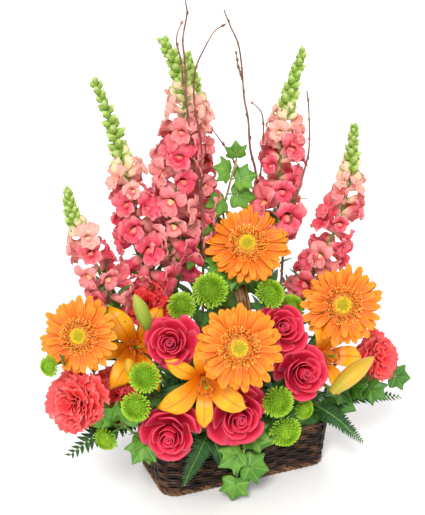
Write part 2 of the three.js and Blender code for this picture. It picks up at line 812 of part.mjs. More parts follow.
const ROSE_LAYERS = [
  { root: [9, -17], stations: [[25, 14.5, -10, 2.5]], rim: [[28, -13, -1], [31, 0, 2], [28, 13, -1]] },
  { root: [9.5, -13], stations: [[21, 12.4, -4, 1]], rim: [[23.5, -11, 6.5], [25.5, 0, 9], [23.5, 11, 6.5]] },
  { root: [9.5, -8], stations: [[15.5, 9, 2, 1]], rim: [[15.5, -8, 11.5], [17.5, 0, 14], [15.5, 8, 11.5]] },
  { root: [8, -2], stations: [[9.5, 5.4, 7, 0.4]], rim: [[7.6, -4.2, 14], [8.6, 0, 17], [7.6, 4.2, 14]] },
];
const CALYX = [{ root: [4.2, -23.5], stations: [[13, 2.8, -21, 0.6]], rim: [[21, 0, -20]] }];

function rosePetals(bloom) {
  const front = { root: [4.6, 3], heart: 14 };
  return fuse([bloomSkin(5, bloom.across / 60, -19, ROSE_LAYERS, front, bloom.at[0])], seat(bloom));
}

function roseStem(bloom) {
  const scale = bloom.across / 60;
  const calyx = bloomSkin(5, scale, -27, CALYX, { root: [3.4, -20.6], heart: -17 }, bloom.at[0] + 0.5);
  const stem = tube(stemPath(bloom, -22 * scale), 6, 4, () => 2.5);
  return fuse([fuse([calyx], seat(bloom)), stem]);
}

// ---- carnations, for a bloom 60 mm across ----

const CARNATION_LAYERS = [
  {
    root: [9, -13],
    stations: [[20, 9.6, -6, 1.2]],
    rim: [[28, -12, 1.5], [31, -4.5, -2.5], [30, 4, 3], [28, 12, -2]],
  },
  {
    root: [9, -7],
    stations: [[16, 7.8, 2, 1.4]],
    rim: [[22, -10, 9], [24.5, -3.5, 5.5], [24, 4, 11], [22, 10, 6.5]],
  },
  {
    root: [8, -1],
    stations: [[9.5, 4.6, 8, 0.6]],
    rim: [[13, -5.6, 16], [14.5, -2, 12.5], [14, 2, 17.5], [13, 5.6, 13.5]],
  },
];

function carnationHead(bloom) {
  const scale = bloom.across / 60;
  const head = bloomSkin(6, scale, -26, CARNATION_LAYERS, { root: [4.6, 5], heart: 15 }, bloom.at[0]);
  return fuse([fuse([head], seat(bloom)), tube(stemPath(bloom, -15 * scale), 6, 4, () => 2.4)]);
}

// ---- chrysanthemum sprays, for a head 40 mm across ----

const MUM_LAYERS = [
  { root: [8, -4], stations: [[15.5, 4.6, -0.5, 1.4]], rim: [[20, 0, 1]], thick: 2.4 },
  { root: [7.4, 0.5], stations: [[11.5, 3.9, 4.5, 1.2]], rim: [[15, 0, 7]], thick: 2.4 },
];

function mumHead(head) {
  const small = head.across < 28;
  const layers = small ? MUM_LAYERS.slice(0, 1) : MUM_LAYERS;
  const front = small ? { root: [7, 2], heart: 7 } : { root: [5.6, 5], heart: 4 };
  return fuse([bloomSkin(6, head.across / 40, -7, layers, front, head.at[0])], seat(head));
}

function makeSpray(spray) {
  const fork = point(spray.fork);
  const foot = vec(spray.foot[0], spray.foot[1], STEM_FOOT);
  const rise = foot.clone().lerp(fork, 0.2);
  rise.z = foot.z + 0.5 * (fork.z - foot.z);
  const trunk = new THREE.QuadraticBezierCurve3(foot, rise, fork);
  const parts = [tube(trunk, 4, 4, () => 2.2)];
  for (const [i, head] of spray.heads.entries()) {
    const facing = point(head.facing).normalize();
    const end = point(head.at).addScaledVector(facing, -3);
    const back = point(head.at).addScaledVector(facing, -18);
    const start = trunk.getPointAt(0.97 - 0.13 * i);
    parts.push(mumHead(head), tube(new THREE.QuadraticBezierCurve3(start, back, end), 2, 3, () => 1.7));
  }
  return fuse(parts);
}

// ---- snapdragons ----

// How far along the whole stem the lowest floret stands.
function spikeStart(spike, path) {
  const low = point(spike.line[0]);
  let best = 0;
  for (let i = 0; i <= 200; i++) {
    if (path.getPointAt(i / 200).distanceTo(low) < path.getPointAt(best).distanceTo(low)) best = i / 200;
  }
  return best;
}

// Bends a shape made round +Z so that its axis follows a curve from a share of its length on.
function bendAlong(geometry, path, start) {
  const place = geometry.attributes.position;
  const length = path.getLength();
  for (let i = 0; i < place.count; i++) {
    const t = Math.min(Math.max(start + place.getZ(i) / length, 0), 1);
    const ahead = path.getTangentAt(t);
    const right = vec(1, 0, 0).addScaledVector(ahead, -ahead.x).normalize();
    const there = path.getPointAt(t).addScaledVector(right, place.getX(i));
    there.addScaledVector(ahead.cross(right), place.getY(i));
    place.setXYZ(i, there.x, there.y, there.z);
  }
  return geometry;
}

// Tiers of plump two-lipped florets, smaller towards the tip. A floret's upper lip stands
// up in the middle of its rim and the lower lip hangs at both sides.
function spikeFlorets(spike) {
  const path = curveThrough(spike.foot, spike.line);
  const start = spikeStart(spike, path);
  const zone = 0.8 * (1 - start) * path.getLength();
  const tiers = Math.round(zone / 27);
  const layers = [];
  for (let tier = 0; tier < tiers; tier++) {
    const size = spike.reach * (1.12 - (0.5 * tier) / tiers);
    const z = ((tier + 0.3) * zone) / tiers;
    layers.push({
      root: [5, z - 0.2 * size],
      stations: [[0.58 * size, 0.35 * size, z + 0.05 * size, 0]],
      rim: [[0.98 * size, -0.34 * size, z - 0.16 * size], [1.02 * size, 0, z + 0.44 * size],
        [0.98 * size, 0.34 * size, z - 0.16 * size]],
      thick: 0.62 * size,
    });
  }
  const skin = bloomSkin(5, 1, null, layers, { root: [3.6, zone], heart: null }, spike.foot[0]);
  return fuse([bendAlong(skin, path, start)]);
}

// A lance-shaped leaf that leaves a stem part of the way along it.
function lanceLeaf(path, along, length, half, side) {
  const from = path.getPointAt(along);
  const up = path.getTangentAt(along);
  const out = vec(Math.cos(side), Math.sin(side), 0).addScaledVector(up, 0.9).normalize();
  const wide = half / length;
  const outline = mirrored([[0, 0], [0.3, wide], [0.65, 0.8 * wide], [1, 0]]);
  return leaf(outline, from, from.clone().add(out), up, length, 0.3);
}

function spikeStem(spike) {
  const path = curveThrough(spike.foot, spike.line);
  const start = spikeStart(spike, path);
  const parts = [tube(path, 10, 4, (t) => 2.4 - 1.1 * t)];
  for (let i = 0; i < 4; i++) {
    const along = start + (1 - start) * (0.84 + 0.046 * i);
    const here = path.getPointAt(Math.min(along, 0.995));
    const size = 8 - 0.8 * i;
    const out = vec(Math.cos(i * 2.4), Math.sin(i * 2.4), 1.1).normalize();
    const tip = here.clone().addScaledVector(out, size + 2);
    parts.push(bud(here.clone(), tip, size * 0.4, 3, [[0, 0], [0.6, 1], [1, 0]]));
  }
  parts.push(lanceLeaf(path, start * 0.82, 34, 5, 2.2), lanceLeaf(path, start * 0.92, 30, 4.5, 4.8));
  return fuse(parts);
}

// ---- willow, ivy and fern ----

function makeWillow(rod) {
  const path = curveThrough(rod.foot, rod.line);
  const parts = [tube(path, 14, 4, (t) => 2.2 - 1.1 * t)];
  const stems = [path];
  for (const twig of rod.twigs) {
    const line = new THREE.CatmullRomCurve3(twig.map(point), false, "centripetal");
    parts.push(tube(line, 5, 3, (t) => 1.3 - 0.35 * t));
    stems.push(line);
  }
  stems.forEach((line, n) => {
    const count = n ? 1 : 3;
    for (let i = 0; i < count; i++) {
      const along = (n ? 0.4 : 0.5) + (i * 0.46) / count;
      const from = line.getPointAt(along);
      const side = vec(i % 2 ? 1 : -1, 0.3, 0).addScaledVector(line.getTangentAt(along), 1.2).normalize();
      parts.push(bud(from, from.clone().addScaledVector(side, 8), 1.6, 3, [[0, 0], [0.4, 1], [1, 0]]));
    }
  });
  return fuse(parts);
}

// Half an ivy leaf's outline, as shares of its length: from the base round to the tip.
const IVY_OUTLINE = mirrored([
  [0, 0],
  [-0.12, 0.2],
  [0.04, 0.46],
  [0.24, 0.3],
  [0.46, 0.5],
  [0.55, 0.24],
  [1, 0],
]);

function makeIvy(trail) {
  const path = curveThrough(trail.foot, trail.line);
  const parts = [tube(path, 7, 4, (t) => 1.9 - 0.7 * t)];
  for (const each of trail.leaves) {
    const from = point(each.at);
    const to = point(each.to);
    const up = to.y > from.y + 10 ? vec(0, 0.8, 0.6) : vec(-0.3, -0.85, 0.45);
    const inside = from.clone().lerp(to, 0.4);
    parts.push(bud(from.clone(), inside, 1.2, 3, [[0, 0], [0.5, 1], [1, 0]]));
    parts.push(leaf(IVY_OUTLINE, from.clone().lerp(to, 0.2), to, up, each.length, 0.25, 1.8));
  }
  return fuse(parts);
}

// A frond in one thin skin: toothed pinnae cut almost to the rib on both sides.
function frondBlade(path, start, pairs, reach, up) {
  const points = [];
  const index = [];
  const add = (p) => points.push(p) - 1;
  const step = (1 - start) / pairs;
  const first = add(path.getPointAt(start - 0.02));
  const last = add(path.getPointAt(1));
  const ribs = [];
  const gaps = { "-1": [first], 1: [first] };
  const frame = (k) => {
    const here = path.getPointAt(start + k * step);
    const ahead = path.getTangentAt(start + k * step);
    const side = up.clone().cross(ahead).normalize();
    return { here, ahead, side, face: ahead.clone().cross(side) };
  };
  for (let k = 0; k < pairs; k++) {
    const { here, side, face } = frame(k);
    ribs.push([0.9, -0.9].map((lift) => add(here.clone().addScaledVector(face, lift))));
    for (const hand of [-1, 1]) {
      if (k) gaps[hand].push(add(here.clone().addScaledVector(side, 1.6 * hand)));
    }
  }
  gaps["-1"].push(last);
  gaps[1].push(last);
  for (let k = 0; k < pairs; k++) {
    const { here, ahead, side, face } = frame(k);
    const size = reach * (k === 0 ? 0.8 : 1 - (0.72 * k) / pairs);
    for (const hand of [-1, 1]) {
      const place = (forward, out) =>
        add(here.clone().addScaledVector(ahead, forward * size).addScaledVector(side, hand * out * size)
          .addScaledVector(face, -0.16 * size * out * out));
      const rim = [gaps[hand][k], place(0.16, 0.46), place(0.2, 0.62), place(0.5, 0.92), place(0.36, 0.42),
        gaps[hand][k + 1]];
      for (let n = 0; n + 1 < rim.length; n++) {
        const flip = hand < 0;
        stitch(index, [ribs[k][0]], [rim[n], rim[n + 1]], flip);
        stitch(index, [ribs[k][1]], [rim[n], rim[n + 1]], !flip);
      }
      if (k + 1 < pairs) {
        stitch(index, [ribs[k][0], ribs[k + 1][0]], [rim[5]], hand < 0);
        stitch(index, [ribs[k][1], ribs[k + 1][1]], [rim[5]], hand > 0);
      }
    }
  }
  return surface(points, index);
}

function makeFrond(fork, frond) {
  const path = new THREE.CatmullRomCurve3([fork, ...frond.line.map(point)], false, "centripetal");
  const stalk = new THREE.LineCurve3(fork, path.getPointAt(0.17));
  return [tube(stalk, 1, 4, () => 1.6), frondBlade(path, 0.16, 6, frond.reach, point(frond.up).normalize())];
}

function makeFern(fern) {
  const fork = point(fern.fork);
  const foot = vec(fern.foot[0], fern.foot[1], STEM_FOOT);
  const rise = foot.clone().lerp(fork, 0.3);
  rise.z = fork.z;
  const stalk = tube(new THREE.QuadraticBezierCurve3(foot, rise, fork), 4, 4, () => 2.2);
  return fuse([stalk, ...fern.fronds.flatMap((frond) => makeFrond(fork, frond))]);
}

// ---- the arrangement ----

keep("basket", makeBasket(), darkWillow());
keep("handle", makeHandle(), paleWillow());
keep("liner", makeLiner(), plastic());

function keepEach(prefix, table, make, material) {
  for (const [name, entry] of Object.entries(table)) keep(prefix + name, make(entry, name), material());
}

keepEach("gerbera_stem_", GERBERAS, gerberaEye, stemGreen);
keepEach("lily_stem_", LILIES, (bloom, name) => lilyStem(name, bloom), stemGreen);
keepEach("rose_stem_", ROSES, roseStem, stemGreen);
keepEach("snapdragon_stem_", SNAPDRAGONS, spikeStem, stemGreen);
keepEach("willow_", WILLOWS, makeWillow, bark);
keepEach("carnation_", CARNATIONS, carnationHead, coralPetal);
keepEach("mum_spray_", SPRAYS, makeSpray, limePetal);
keepEach("gerbera_petals_", GERBERAS, gerberaPetals, orangePetal);
keepEach("rose_petals_", ROSES, rosePetals, rosePetal);
keepEach("lily_petals_", LILIES, lilyBloom, amberPetal);
keepEach("snapdragon_florets_", SNAPDRAGONS, spikeFlorets, snapPetal);
keepEach("fern_", FERNS, makeFern, fernGreen);
keepEach("ivy_", IVIES, makeIvy, ivyGreen);
keep("foam", makeFoam(), foamGreen());

function toMesh(piece) {
  const geometry = toGeometry(piece.shape);
  geometry.computeVertexNormals();
  const mesh = new THREE.Mesh(geometry, piece.material);
  mesh.name = piece.name;
  return mesh;
}

const arrangement = new THREE.Group();
arrangement.name = "flower_basket";
for (const piece of pieces) arrangement.add(toMesh(piece));

export default arrangement;
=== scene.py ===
# Cut flowers in a woven basket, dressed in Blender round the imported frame.
# Places and sizes in the tables are millimetres in the frame, and are multiplied by mm.
import bisect
import math
import random

import bpy
import numpy as np
from mathutils import Matrix, Vector


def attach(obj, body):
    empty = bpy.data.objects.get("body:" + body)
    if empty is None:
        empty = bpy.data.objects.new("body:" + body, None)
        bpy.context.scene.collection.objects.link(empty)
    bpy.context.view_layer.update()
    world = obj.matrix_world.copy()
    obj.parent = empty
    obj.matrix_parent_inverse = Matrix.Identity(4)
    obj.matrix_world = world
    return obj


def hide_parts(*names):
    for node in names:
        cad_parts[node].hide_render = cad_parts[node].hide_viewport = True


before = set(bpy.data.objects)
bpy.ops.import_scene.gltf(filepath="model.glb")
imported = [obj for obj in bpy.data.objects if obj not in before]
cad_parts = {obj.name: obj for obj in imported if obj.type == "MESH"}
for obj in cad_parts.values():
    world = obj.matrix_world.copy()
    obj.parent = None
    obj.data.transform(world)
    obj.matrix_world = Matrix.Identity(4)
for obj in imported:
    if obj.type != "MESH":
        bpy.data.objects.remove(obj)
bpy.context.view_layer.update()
scene = bpy.context.scene
mm = 0.001
up = Vector((0, 0, 1))
goldenTurn = math.radians(137.508)
stemFoot = 60  # height of a stem's lower end, inside the foam
foamTop = 78
print("frame loaded")


# wires, trees and materials

class Wire:
    # one output of a shader or geometry tree, with arithmetic

    def __init__(self, socket):
        self.socket = socket

    def math(self, operation, *values):
        return add(self.socket.id_data, "ShaderNodeMath", {"operation": operation}, values)

    def __add__(self, other):
        return self.math("ADD", self, other)

    def __radd__(self, other):
        return self.math("ADD", other, self)

    def __sub__(self, other):
        return self.math("SUBTRACT", self, other)

    def __rsub__(self, other):
        return self.math("SUBTRACT", other, self)

    def __mul__(self, other):
        return self.math("MULTIPLY", self, other)

    def __rmul__(self, other):
        return self.math("MULTIPLY", other, self)

    def __truediv__(self, other):
        return self.math("DIVIDE", self, other)

    def __pow__(self, other):
        return self.math("POWER", self, other)

    def sin(self):
        return self.math("SINE", self)

    def cos(self):
        return self.math("COSINE", self)

    def size(self):
        return self.math("ABSOLUTE", self)

    def modulo(self, other):
        return self.math("MODULO", self, other)

    def floor(self):
        return self.math("FLOOR", self)

    def step(self, low, high):
        # 0 below low, 1 above high, smooth between
        settings = {"interpolation_type": "SMOOTHSTEP"}
        return add(self.socket.id_data, "ShaderNodeMapRange", settings, {0: self, 1: low, 2: high})


def add(tree, kind, settings=None, values=None, out=0):
    # any node: its settings first, then the values or links of its sockets
    made = tree.nodes.new(kind)
    for key, value in (settings or {}).items():
        setattr(made, key, value)
    pairs = values.items() if isinstance(values, dict) else enumerate(values or ())
    for key, value in pairs:
        if isinstance(value, Wire):
            tree.links.new(value.socket, made.inputs[key])
        elif value is not None:
            made.inputs[key].default_value = value
    return Wire(made.outputs[out])


def colour(code):
    # a hex colour as the linear values that Blender's sockets hold
    parts = [int(code[i:i + 2], 16) / 255 for i in (1, 3, 5)]
    return (*[part / 12.92 if part < 0.04 else ((part + 0.055) / 1.055) ** 2.4 for part in parts], 1)


def blend(tree, share, first, second):
    return add(tree, "ShaderNodeMix", {"data_type": "RGBA"}, {0: share, 6: first, 7: second}, 2)


def mark(tree, name, out=2):
    # an attribute of the mesh as a number, or as a vector with out=1
    return add(tree, "ShaderNodeAttribute", {"attribute_name": name}, None, out)


def petalPlace(tree):
    # how far across a petal, from -1 to 1, and how far along it, from 0 to 1
    where = mark(tree, "petal", 1)
    return [add(tree, "ShaderNodeSeparateXYZ", None, [where], k) for k in (0, 1)]


def noise(tree, scale, stretch=(1, 1, 1), detail=3):
    place = add(tree, "ShaderNodeTexCoord", None, None, 3)
    sized = add(tree, "ShaderNodeMapping", None, {0: place, 3: stretch})
    return add(tree, "ShaderNodeTexNoise", None, {"Vector": sized, "Scale": scale, "Detail": detail})


def surface(tree, shade, rough, height, strength, distance):
    # what changes over a finish: its colour, its roughness and its fine relief
    relief = add(tree, "ShaderNodeBump", None, {"Height": height, "Strength": strength, "Distance": distance})
    return {"Base Color": shade, "Roughness": rough, "Normal": relief}


def soft(gloss, share, depth):
    # the fixed values of petal and leaf: gloss, share of light let in, and how deep it goes
    return {"Specular IOR Level": gloss, "Subsurface Weight": share, "Subsurface Scale": depth}


def material(name, paint, fixed):
    # a Principled material: paint(tree) gives what changes over the surface
    made = bpy.data.materials.new(name)
    made.use_nodes = True
    tree = made.node_tree
    shader = tree.nodes["Principled BSDF"]
    for key, value in fixed.items():
        shader.inputs[key].default_value = value
    for key, wire in paint(tree).items():
        tree.links.new(wire.socket, shader.inputs[key])
    return made


# finishes

def petalFinish(name, base, middle, tip, edge, streaks, rough, deep, veins=0.0002):
    # colours along the petal, a lighter edge and fine lengthwise veins
    def paint(tree):
        across, along = petalPlace(tree)
        low = blend(tree, along.step(0.05, 0.55), colour(base), colour(middle))
        high = blend(tree, along.step(0.55, 1.0), low, colour(tip))
        rim = blend(tree, across.size().step(0.55, 1.0) * 0.6, high, colour(edge))
        lines = (across * 34 + noise(tree, 120) * 2).sin() * 0.5 + 0.5
        cloud = noise(tree, 90, detail=4)
        shadow = (1 - cloud) * streaks * lines + mark(tree, "tone") * 0.16
        grain = lines * 0.5 + noise(tree, 700) * 0.5
        shade = blend(tree, shadow, rim, colour(deep))
        return surface(tree, shade, cloud * 0.2 + (rough - 0.1), grain, 0.35, veins)

    return material(name, paint, soft(0.35, 0.12, 0.004))


def orderFinish(name, inner, outer, low, rough, lift):
    # small florets: coloured by their place in the spiral, darker at their feet
    def paint(tree):
        along = petalPlace(tree)[1]
        ranked = blend(tree, mark(tree, "order").step(0.15, lift), colour(inner), colour(outer))
        risen = blend(tree, along.step(0.1, 0.75), colour(low), ranked)
        shade = blend(tree, mark(tree, "tone") * 0.25, risen, colour(low))
        return surface(tree, shade, noise(tree, 300) * 0.2 + (rough - 0.1), noise(tree, 900), 0.3, 0.0002)

    return material(name, paint, soft(0.3, 0.1, 0.003))


def leafFinish(name, dark, light, vein, veinAt=(0.0,), rough=0.42):
    # a blade with a pale midrib and side veins
    def paint(tree):
        across, along = petalPlace(tree)
        cloud = noise(tree, 60, detail=5)
        ground = blend(tree, cloud.step(0.3, 0.7), colour(dark), colour(light))
        line = None
        for at in veinAt:
            near = 1 - ((across.size() - at).size() * (along + 0.05)).step(0.004, 0.02)
            line = near if line is None else line.math("MAXIMUM", line, near)
        side = ((along * 40 + across.size() * 16).sin() * 0.5 + 0.5) ** 6
        veined = blend(tree, line * 0.42, ground, colour(vein))
        shade = blend(tree, mark(tree, "tone") * 0.3, veined, colour(dark))
        relief = line * -0.8 + side * -0.25 + noise(tree, 500) * 0.25
        return surface(tree, shade, cloud * 0.25 + (rough - 0.12), relief, 0.5, 0.0004)

    return material(name, paint, soft(0.4, 0.06, 0.003))


def stalkFinish(name, dark, light, rough=0.45):
    def paint(tree):
        cloud = noise(tree, 1, (400, 400, 40), 4)
        shade = blend(tree, cloud.step(0.3, 0.7), colour(dark), colour(light))
        return surface(tree, shade, cloud * 0.3 + (rough - 0.15), cloud, 0.4, 0.0004)

    return material(name, paint, {"Specular IOR Level": 0.4})


def willowFinish(name, dark, middle, light, grain=(90, 90, 900), rough=0.5, crownHighlight=0.0):
    # willow: long grain, each strand its own tone, and a light colour laid over patches of wear and, as a
    # painted highlight, where a strand swings out
    def paint(tree):
        tone = mark(tree, "tone")
        long = noise(tree, 1, grain, 6)
        patch = noise(tree, 45, detail=3)
        stained = blend(tree, (long * 0.7 + tone * 0.5).step(0.25, 0.95), colour(dark), colour(middle))
        # painted highlight: the strands' outward crowns are painted lighter, on top of the patchy wear
        swing = (mark(tree, "order") - 0.5) * crownHighlight
        wearAndHighlight = ((patch - 0.42) * 2 + long - 0.5 + swing).step(0.1, 0.9) * 0.7
        shade = blend(tree, wearAndHighlight, stained, colour(light))
        return surface(tree, shade, long * 0.3 + (rough - 0.2), long + noise(tree, 1200) * 0.3, 0.6, 0.0006)

    return material(name, paint, {"Specular IOR Level": 0.36})


def snapdragonFinish():
    # coral lips, a cream throat with a yellow spot, paler and greener up the spike
    def paint(tree):
        across, along = petalPlace(tree)
        order = mark(tree, "order")
        tone = mark(tree, "tone")
        cloud = noise(tree, 110, detail=4)
        lips = blend(tree, cloud.step(0.35, 0.7), colour("#dc3c58"), colour("#f0707e"))
        lips = blend(tree, tone.step(0.3, 1.0) * 0.7, lips, colour("#f6aaa2"))
        lips = blend(tree, order.step(0.65, 1.0) * 0.75, lips, colour("#f6c4ae"))
        tube = blend(tree, order.step(0.3, 1.0), colour("#f09a96"), colour("#f0dcb4"))
        body = blend(tree, along.step(0.2, 0.45), tube, lips)
        middle = 1 - (across - 0.5).size().step(0.1, 0.32)
        throat = along.step(0.5, 0.515) * (1 - along.step(0.55, 0.58)) * middle
        creamy = blend(tree, throat * (tone.step(0.1, 0.9) * 0.6 + 0.25), body, colour("#f8d890"))
        shade = blend(tree, along.step(0.86, 1.0) * 0.4, creamy, colour("#f8b0ae"))
        lines = (across * 60).sin() * 0.5 + 0.5
        return surface(tree, shade, cloud * 0.2 + 0.42, lines * 0.4 + noise(tree, 500) * 0.6, 0.4, 0.0003)

    return material("snapdragonPetal", paint, soft(0.3, 0.15, 0.004))


def lilyFinish():
    # waxy amber with a grooved midrib and a deeper throat
    def paint(tree):
        across, along = petalPlace(tree)
        cloud = noise(tree, 60, detail=4)
        ground = blend(tree, cloud.step(0.3, 0.7), colour("#f29c00"), colour("#fdb800"))
        lower = blend(tree, along.step(0.1, 0.6), colour("#e07004"), ground)
        rib = (1 - across.size().step(0.03, 0.13)) * (1 - along.step(0.75, 1.0))
        ribbed = blend(tree, rib * 0.6, lower, colour("#c95a06"))
        tipped = blend(tree, along.step(0.92, 1.0) * 0.5, ribbed, colour("#c0a82a"))
        lines = (across * 46).sin() * 0.5 + 0.5
        shade = blend(tree, lines * 0.12 + mark(tree, "tone") * 0.12, tipped, colour("#f08a02"))
        relief = rib * -1.2 + lines * 0.3 + cloud * 0.3
        return surface(tree, shade, cloud * 0.2 + 0.26, relief, 0.5, 0.0005)

    return material("lilyTepal", paint, soft(0.45, 0.12, 0.004))


def foamFinish():
    def paint(tree):
        grit = noise(tree, 900, detail=6)
        shade = blend(tree, noise(tree, 40).step(0.3, 0.7), colour("#1f3d1c"), colour("#2f5829"))
        return surface(tree, shade, grit * 0.1 + 0.88, grit, 0.8, 0.0008)

    return material("wetFoam", paint, {"Specular IOR Level": 0.2})


def linerFinish():
    def paint(tree):
        scuff = noise(tree, 70, detail=5)
        shade = blend(tree, scuff.step(0.4, 0.8), colour("#26301f"), colour("#37432c"))
        return surface(tree, shade, scuff * 0.25 + 0.32, scuff, 0.2, 0.0004)

    return material("linerFilm", paint, {"Specular IOR Level": 0.5})


petalColours = {
    # at the foot, in the middle, at the tip and along the edge, streaks, roughness, in the streaks
    "gerberaRay": ("#e24408", "#f46c0c", "#fc9c14", "#fdb436", 0.4, 0.5, "#ec5e0a"),
    "gerberaShort": ("#e2480c", "#f0621a", "#f88422", "#fa9c44", 0.3, 0.5, "#e8540e"),
    "gerberaRuff": ("#f0601a", "#fa8c24", "#ffe768", "#fdc04c", 0.12, 0.55, "#f27020"),
    "greenBud": ("#6f9430", "#97ae3c", "#b5b548", "#7f9c34", 0.3, 0.4, "#6a8a2c"),
    "yellowBud": ("#b3a832", "#e3ae2c", "#d9a42a", "#a9a53c", 0.3, 0.4, "#c08f20"),
    "rosePetal": ("#be1034", "#e82c50", "#ef4464", "#f6708e", 0.22, 0.45, "#b00c2e", 0.00008),
    "carnationPetal": ("#b81420", "#f04248", "#f6605e", "#fc9690", 0.3, 0.6, "#cc2838"),
    "redCarnation": ("#9c0e1c", "#d8282e", "#e63c3c", "#f06860", 0.3, 0.6, "#b81628"),
    "snapdragonBud": ("#7a9c34", "#a0bc54", "#c4d884", "#b0c868", 0.3, 0.5, "#6a9032"),
    "paleFloret": ("#b4c46c", "#e8e4b0", "#efc2a4", "#f0dcb4", 0.25, 0.5, "#d8c890"),
}
floretColours = {
    # in the middle and at the outside of a head, at the floret's foot, roughness, where outside begins
    "gerberaEye": ("#d2d234", "#fae03a", "#e8b82a", 0.6, 0.6),
    "mumQuill": ("#a4d232", "#bee648", "#6ea614", 0.5, 0.4),
}
leafColours = {
    # dark, light and vein, then how far round the blade each vein lies
    "ivyLeaf": ("#2c6018", "#488426", "#7aa64c", (0.0, 0.33, 0.68)),
    "youngIvy": ("#427c1c", "#6ca234", "#a0c468", (0.0, 0.33, 0.68)),
    "greenLeaf": ("#33682a", "#56903c", "#8cb468"),
    "fernPinna": ("#1c4518", "#2f6428", "#4a8038"),
}
stalkColours = {
    "greenStalk": ("#4d7828", "#6f963c"),
    "tanVine": ("#8a7a4a", "#a89a62"),
    "mumHeart": ("#7cb022", "#9acc34", 0.7),
    "lilyAnther": ("#8a3a12", "#b8602a", 0.8),
    "lilyFilament": ("#e89a28", "#f0b64a", 0.4),
}
willowColours = {
    # dark, stained, and light for wear and for the painted highlight, then the grain, the roughness and how
    # strong the painted highlight on the crowns is
    "willowBark": ("#6e4030", "#9c6a52", "#bf9880", (300, 300, 60), 0.6),
    "darkWillow": ("#0e0704", "#341c11", "#8c5f40", (90, 90, 900), 0.5, 0.35),
    "rubbedWillow": ("#33200f", "#7a5430", "#b58a58"),
    "paleWillow": ("#5c3c1e", "#a67843", "#cfa468", (700, 90, 90), 0.5),
}
finishes = {
    "snapdragonPetal": snapdragonFinish(), "lilyTepal": lilyFinish(), "wetFoam": foamFinish(),
    "linerFilm": linerFinish(),
}
for makeFinish, table in (
        (petalFinish, petalColours), (orderFinish, floretColours), (leafFinish, leafColours),
        (stalkFinish, stalkColours), (willowFinish, willowColours)):
    finishes.update({name: makeFinish(name, *values) for name, values in table.items()})
print("finishes made:", len(finishes))


# lines and sheets

def spot(place):
    return Vector(place) * mm


def smooth(stops, t):
    # a number or point that runs smoothly through (share, value) stops
    places = [stop[0] for stop in stops]
    values = [np.array(stop[1], float) for stop in stops]
    last = len(stops) - 1
    k = min(max(bisect.bisect(places, t) - 1, 0), last - 1)
    span = places[k + 1] - places[k]
    u = (t - places[k]) / span

    def slope(i):
        a, b = max(i - 1, 0), min(i + 1, last)
        return (values[b] - values[a]) / (places[b] - places[a]) * span

    start = (2 * u ** 3 - 3 * u ** 2 + 1) * values[k] + (u ** 3 - 2 * u ** 2 + u) * slope(k)
    return start + (3 * u ** 2 - 2 * u ** 3) * values[k + 1] + (u ** 3 - u ** 2) * slope(k + 1)


def through(points, steps=8):
    # points along a centripetal line through the given ones
    line = [2 * points[0] - points[1], *points, 2 * points[-1] - points[-2]]
    made = []
    for a, b, c, d in zip(line, line[1:], line[2:], line[3:]):
        before, here, after = [max((q - p).length ** 0.5, 1e-5) for p, q in ((a, b), (b, c), (c, d))]
        leave = ((b - a) / before - (c - a) / (before + here) + (c - b) / here) * here
        arrive = ((c - b) / here - (d - b) / (here + after) + (d - c) / after) * here
        for i in range(steps):
            u = i / steps
            point = b * (2 * u ** 3 - 3 * u ** 2 + 1) + leave * (u ** 3 - 2 * u ** 2 + u)
            made.append(point + c * (3 * u ** 2 - 2 * u ** 3) + arrive * (u ** 3 - u ** 2))
    return [*made, points[-1]]


def bezier(*points, steps=20):
    degree = len(points) - 1
    made = []
    for i in range(steps + 1):
        u = i / steps
        shares = [math.comb(degree, k) * u ** k * (1 - u) ** (degree - k) for k in range(degree + 1)]
        made.append(sum((p * share for p, share in zip(points, shares)), Vector()))
    return made


def stemLine(bloom, depth):
    # the line of a stem from the foam into the back of a bloom, in millimetres
    facing = Vector(bloom["facing"]).normalized()
    end = Vector(bloom["at"]) + facing * depth
    foot = Vector((*bloom["foot"], stemFoot))
    span = (end - foot).length
    rise = foot.lerp(end, 0.12)
    rise.z = stemFoot + (0.36 if bloom["at"][2] < 170 else 0.42) * span
    return bezier(foot, rise, end - facing * 0.28 * span, end)


def rodLine(foot, line):
    start = Vector((*foot, stemFoot))
    rise = start.lerp(Vector(line[0]), 0.14)
    rise.z = foamTop + 6
    return through([start, rise, *[Vector(each) for each in line]])


def link(name, data):
    made = bpy.data.objects.new(name, data)
    scene.collection.objects.link(made)
    return made


def settle(made):
    # the evaluated object as a plain mesh, smooth, with its modifiers gone
    depsgraph = bpy.context.evaluated_depsgraph_get()
    plain = bpy.data.meshes.new_from_object(
        made.evaluated_get(depsgraph), preserve_all_data_layers=True, depsgraph=depsgraph)
    name = made.name
    bpy.data.objects.remove(made)
    plain.polygons.foreach_set("use_smooth", [True] * len(plain.polygons))
    return link(name, plain)


def rod(name, line, radii, finish, sides=1):
    # a round rod along points in millimetres, its radius running through the radii
    curve = bpy.data.curves.new(name, "CURVE")
    curve.dimensions = "3D"
    curve.bevel_depth = 1
    curve.bevel_resolution = sides
    curve.use_fill_caps = True
    run = curve.splines.new("POLY")
    run.points.add(len(line) - 1)
    for i, (point, place) in enumerate(zip(run.points, line)):
        share = i / (len(line) - 1) * (len(radii) - 1)
        low = min(int(share), len(radii) - 2) if len(radii) > 1 else 0
        radius = radii[low] if len(radii) == 1 else radii[low] + (radii[low + 1] - radii[low]) * (share - low)
        point.co = (*(Vector(place) * mm), 1)
        point.radius = radius * mm
    curve.materials.append(finishes[finish])
    return settle(link(name, curve))


def path(name, line):
    # a bare line that a growth tree follows
    curve = bpy.data.curves.new(name, "CURVE")
    curve.dimensions = "3D"
    run = curve.splines.new("POLY")
    run.points.add(len(line) - 1)
    for point, place in zip(run.points, line):
        point.co = (*(Vector(place) * mm), 1)
    return link(name, curve)


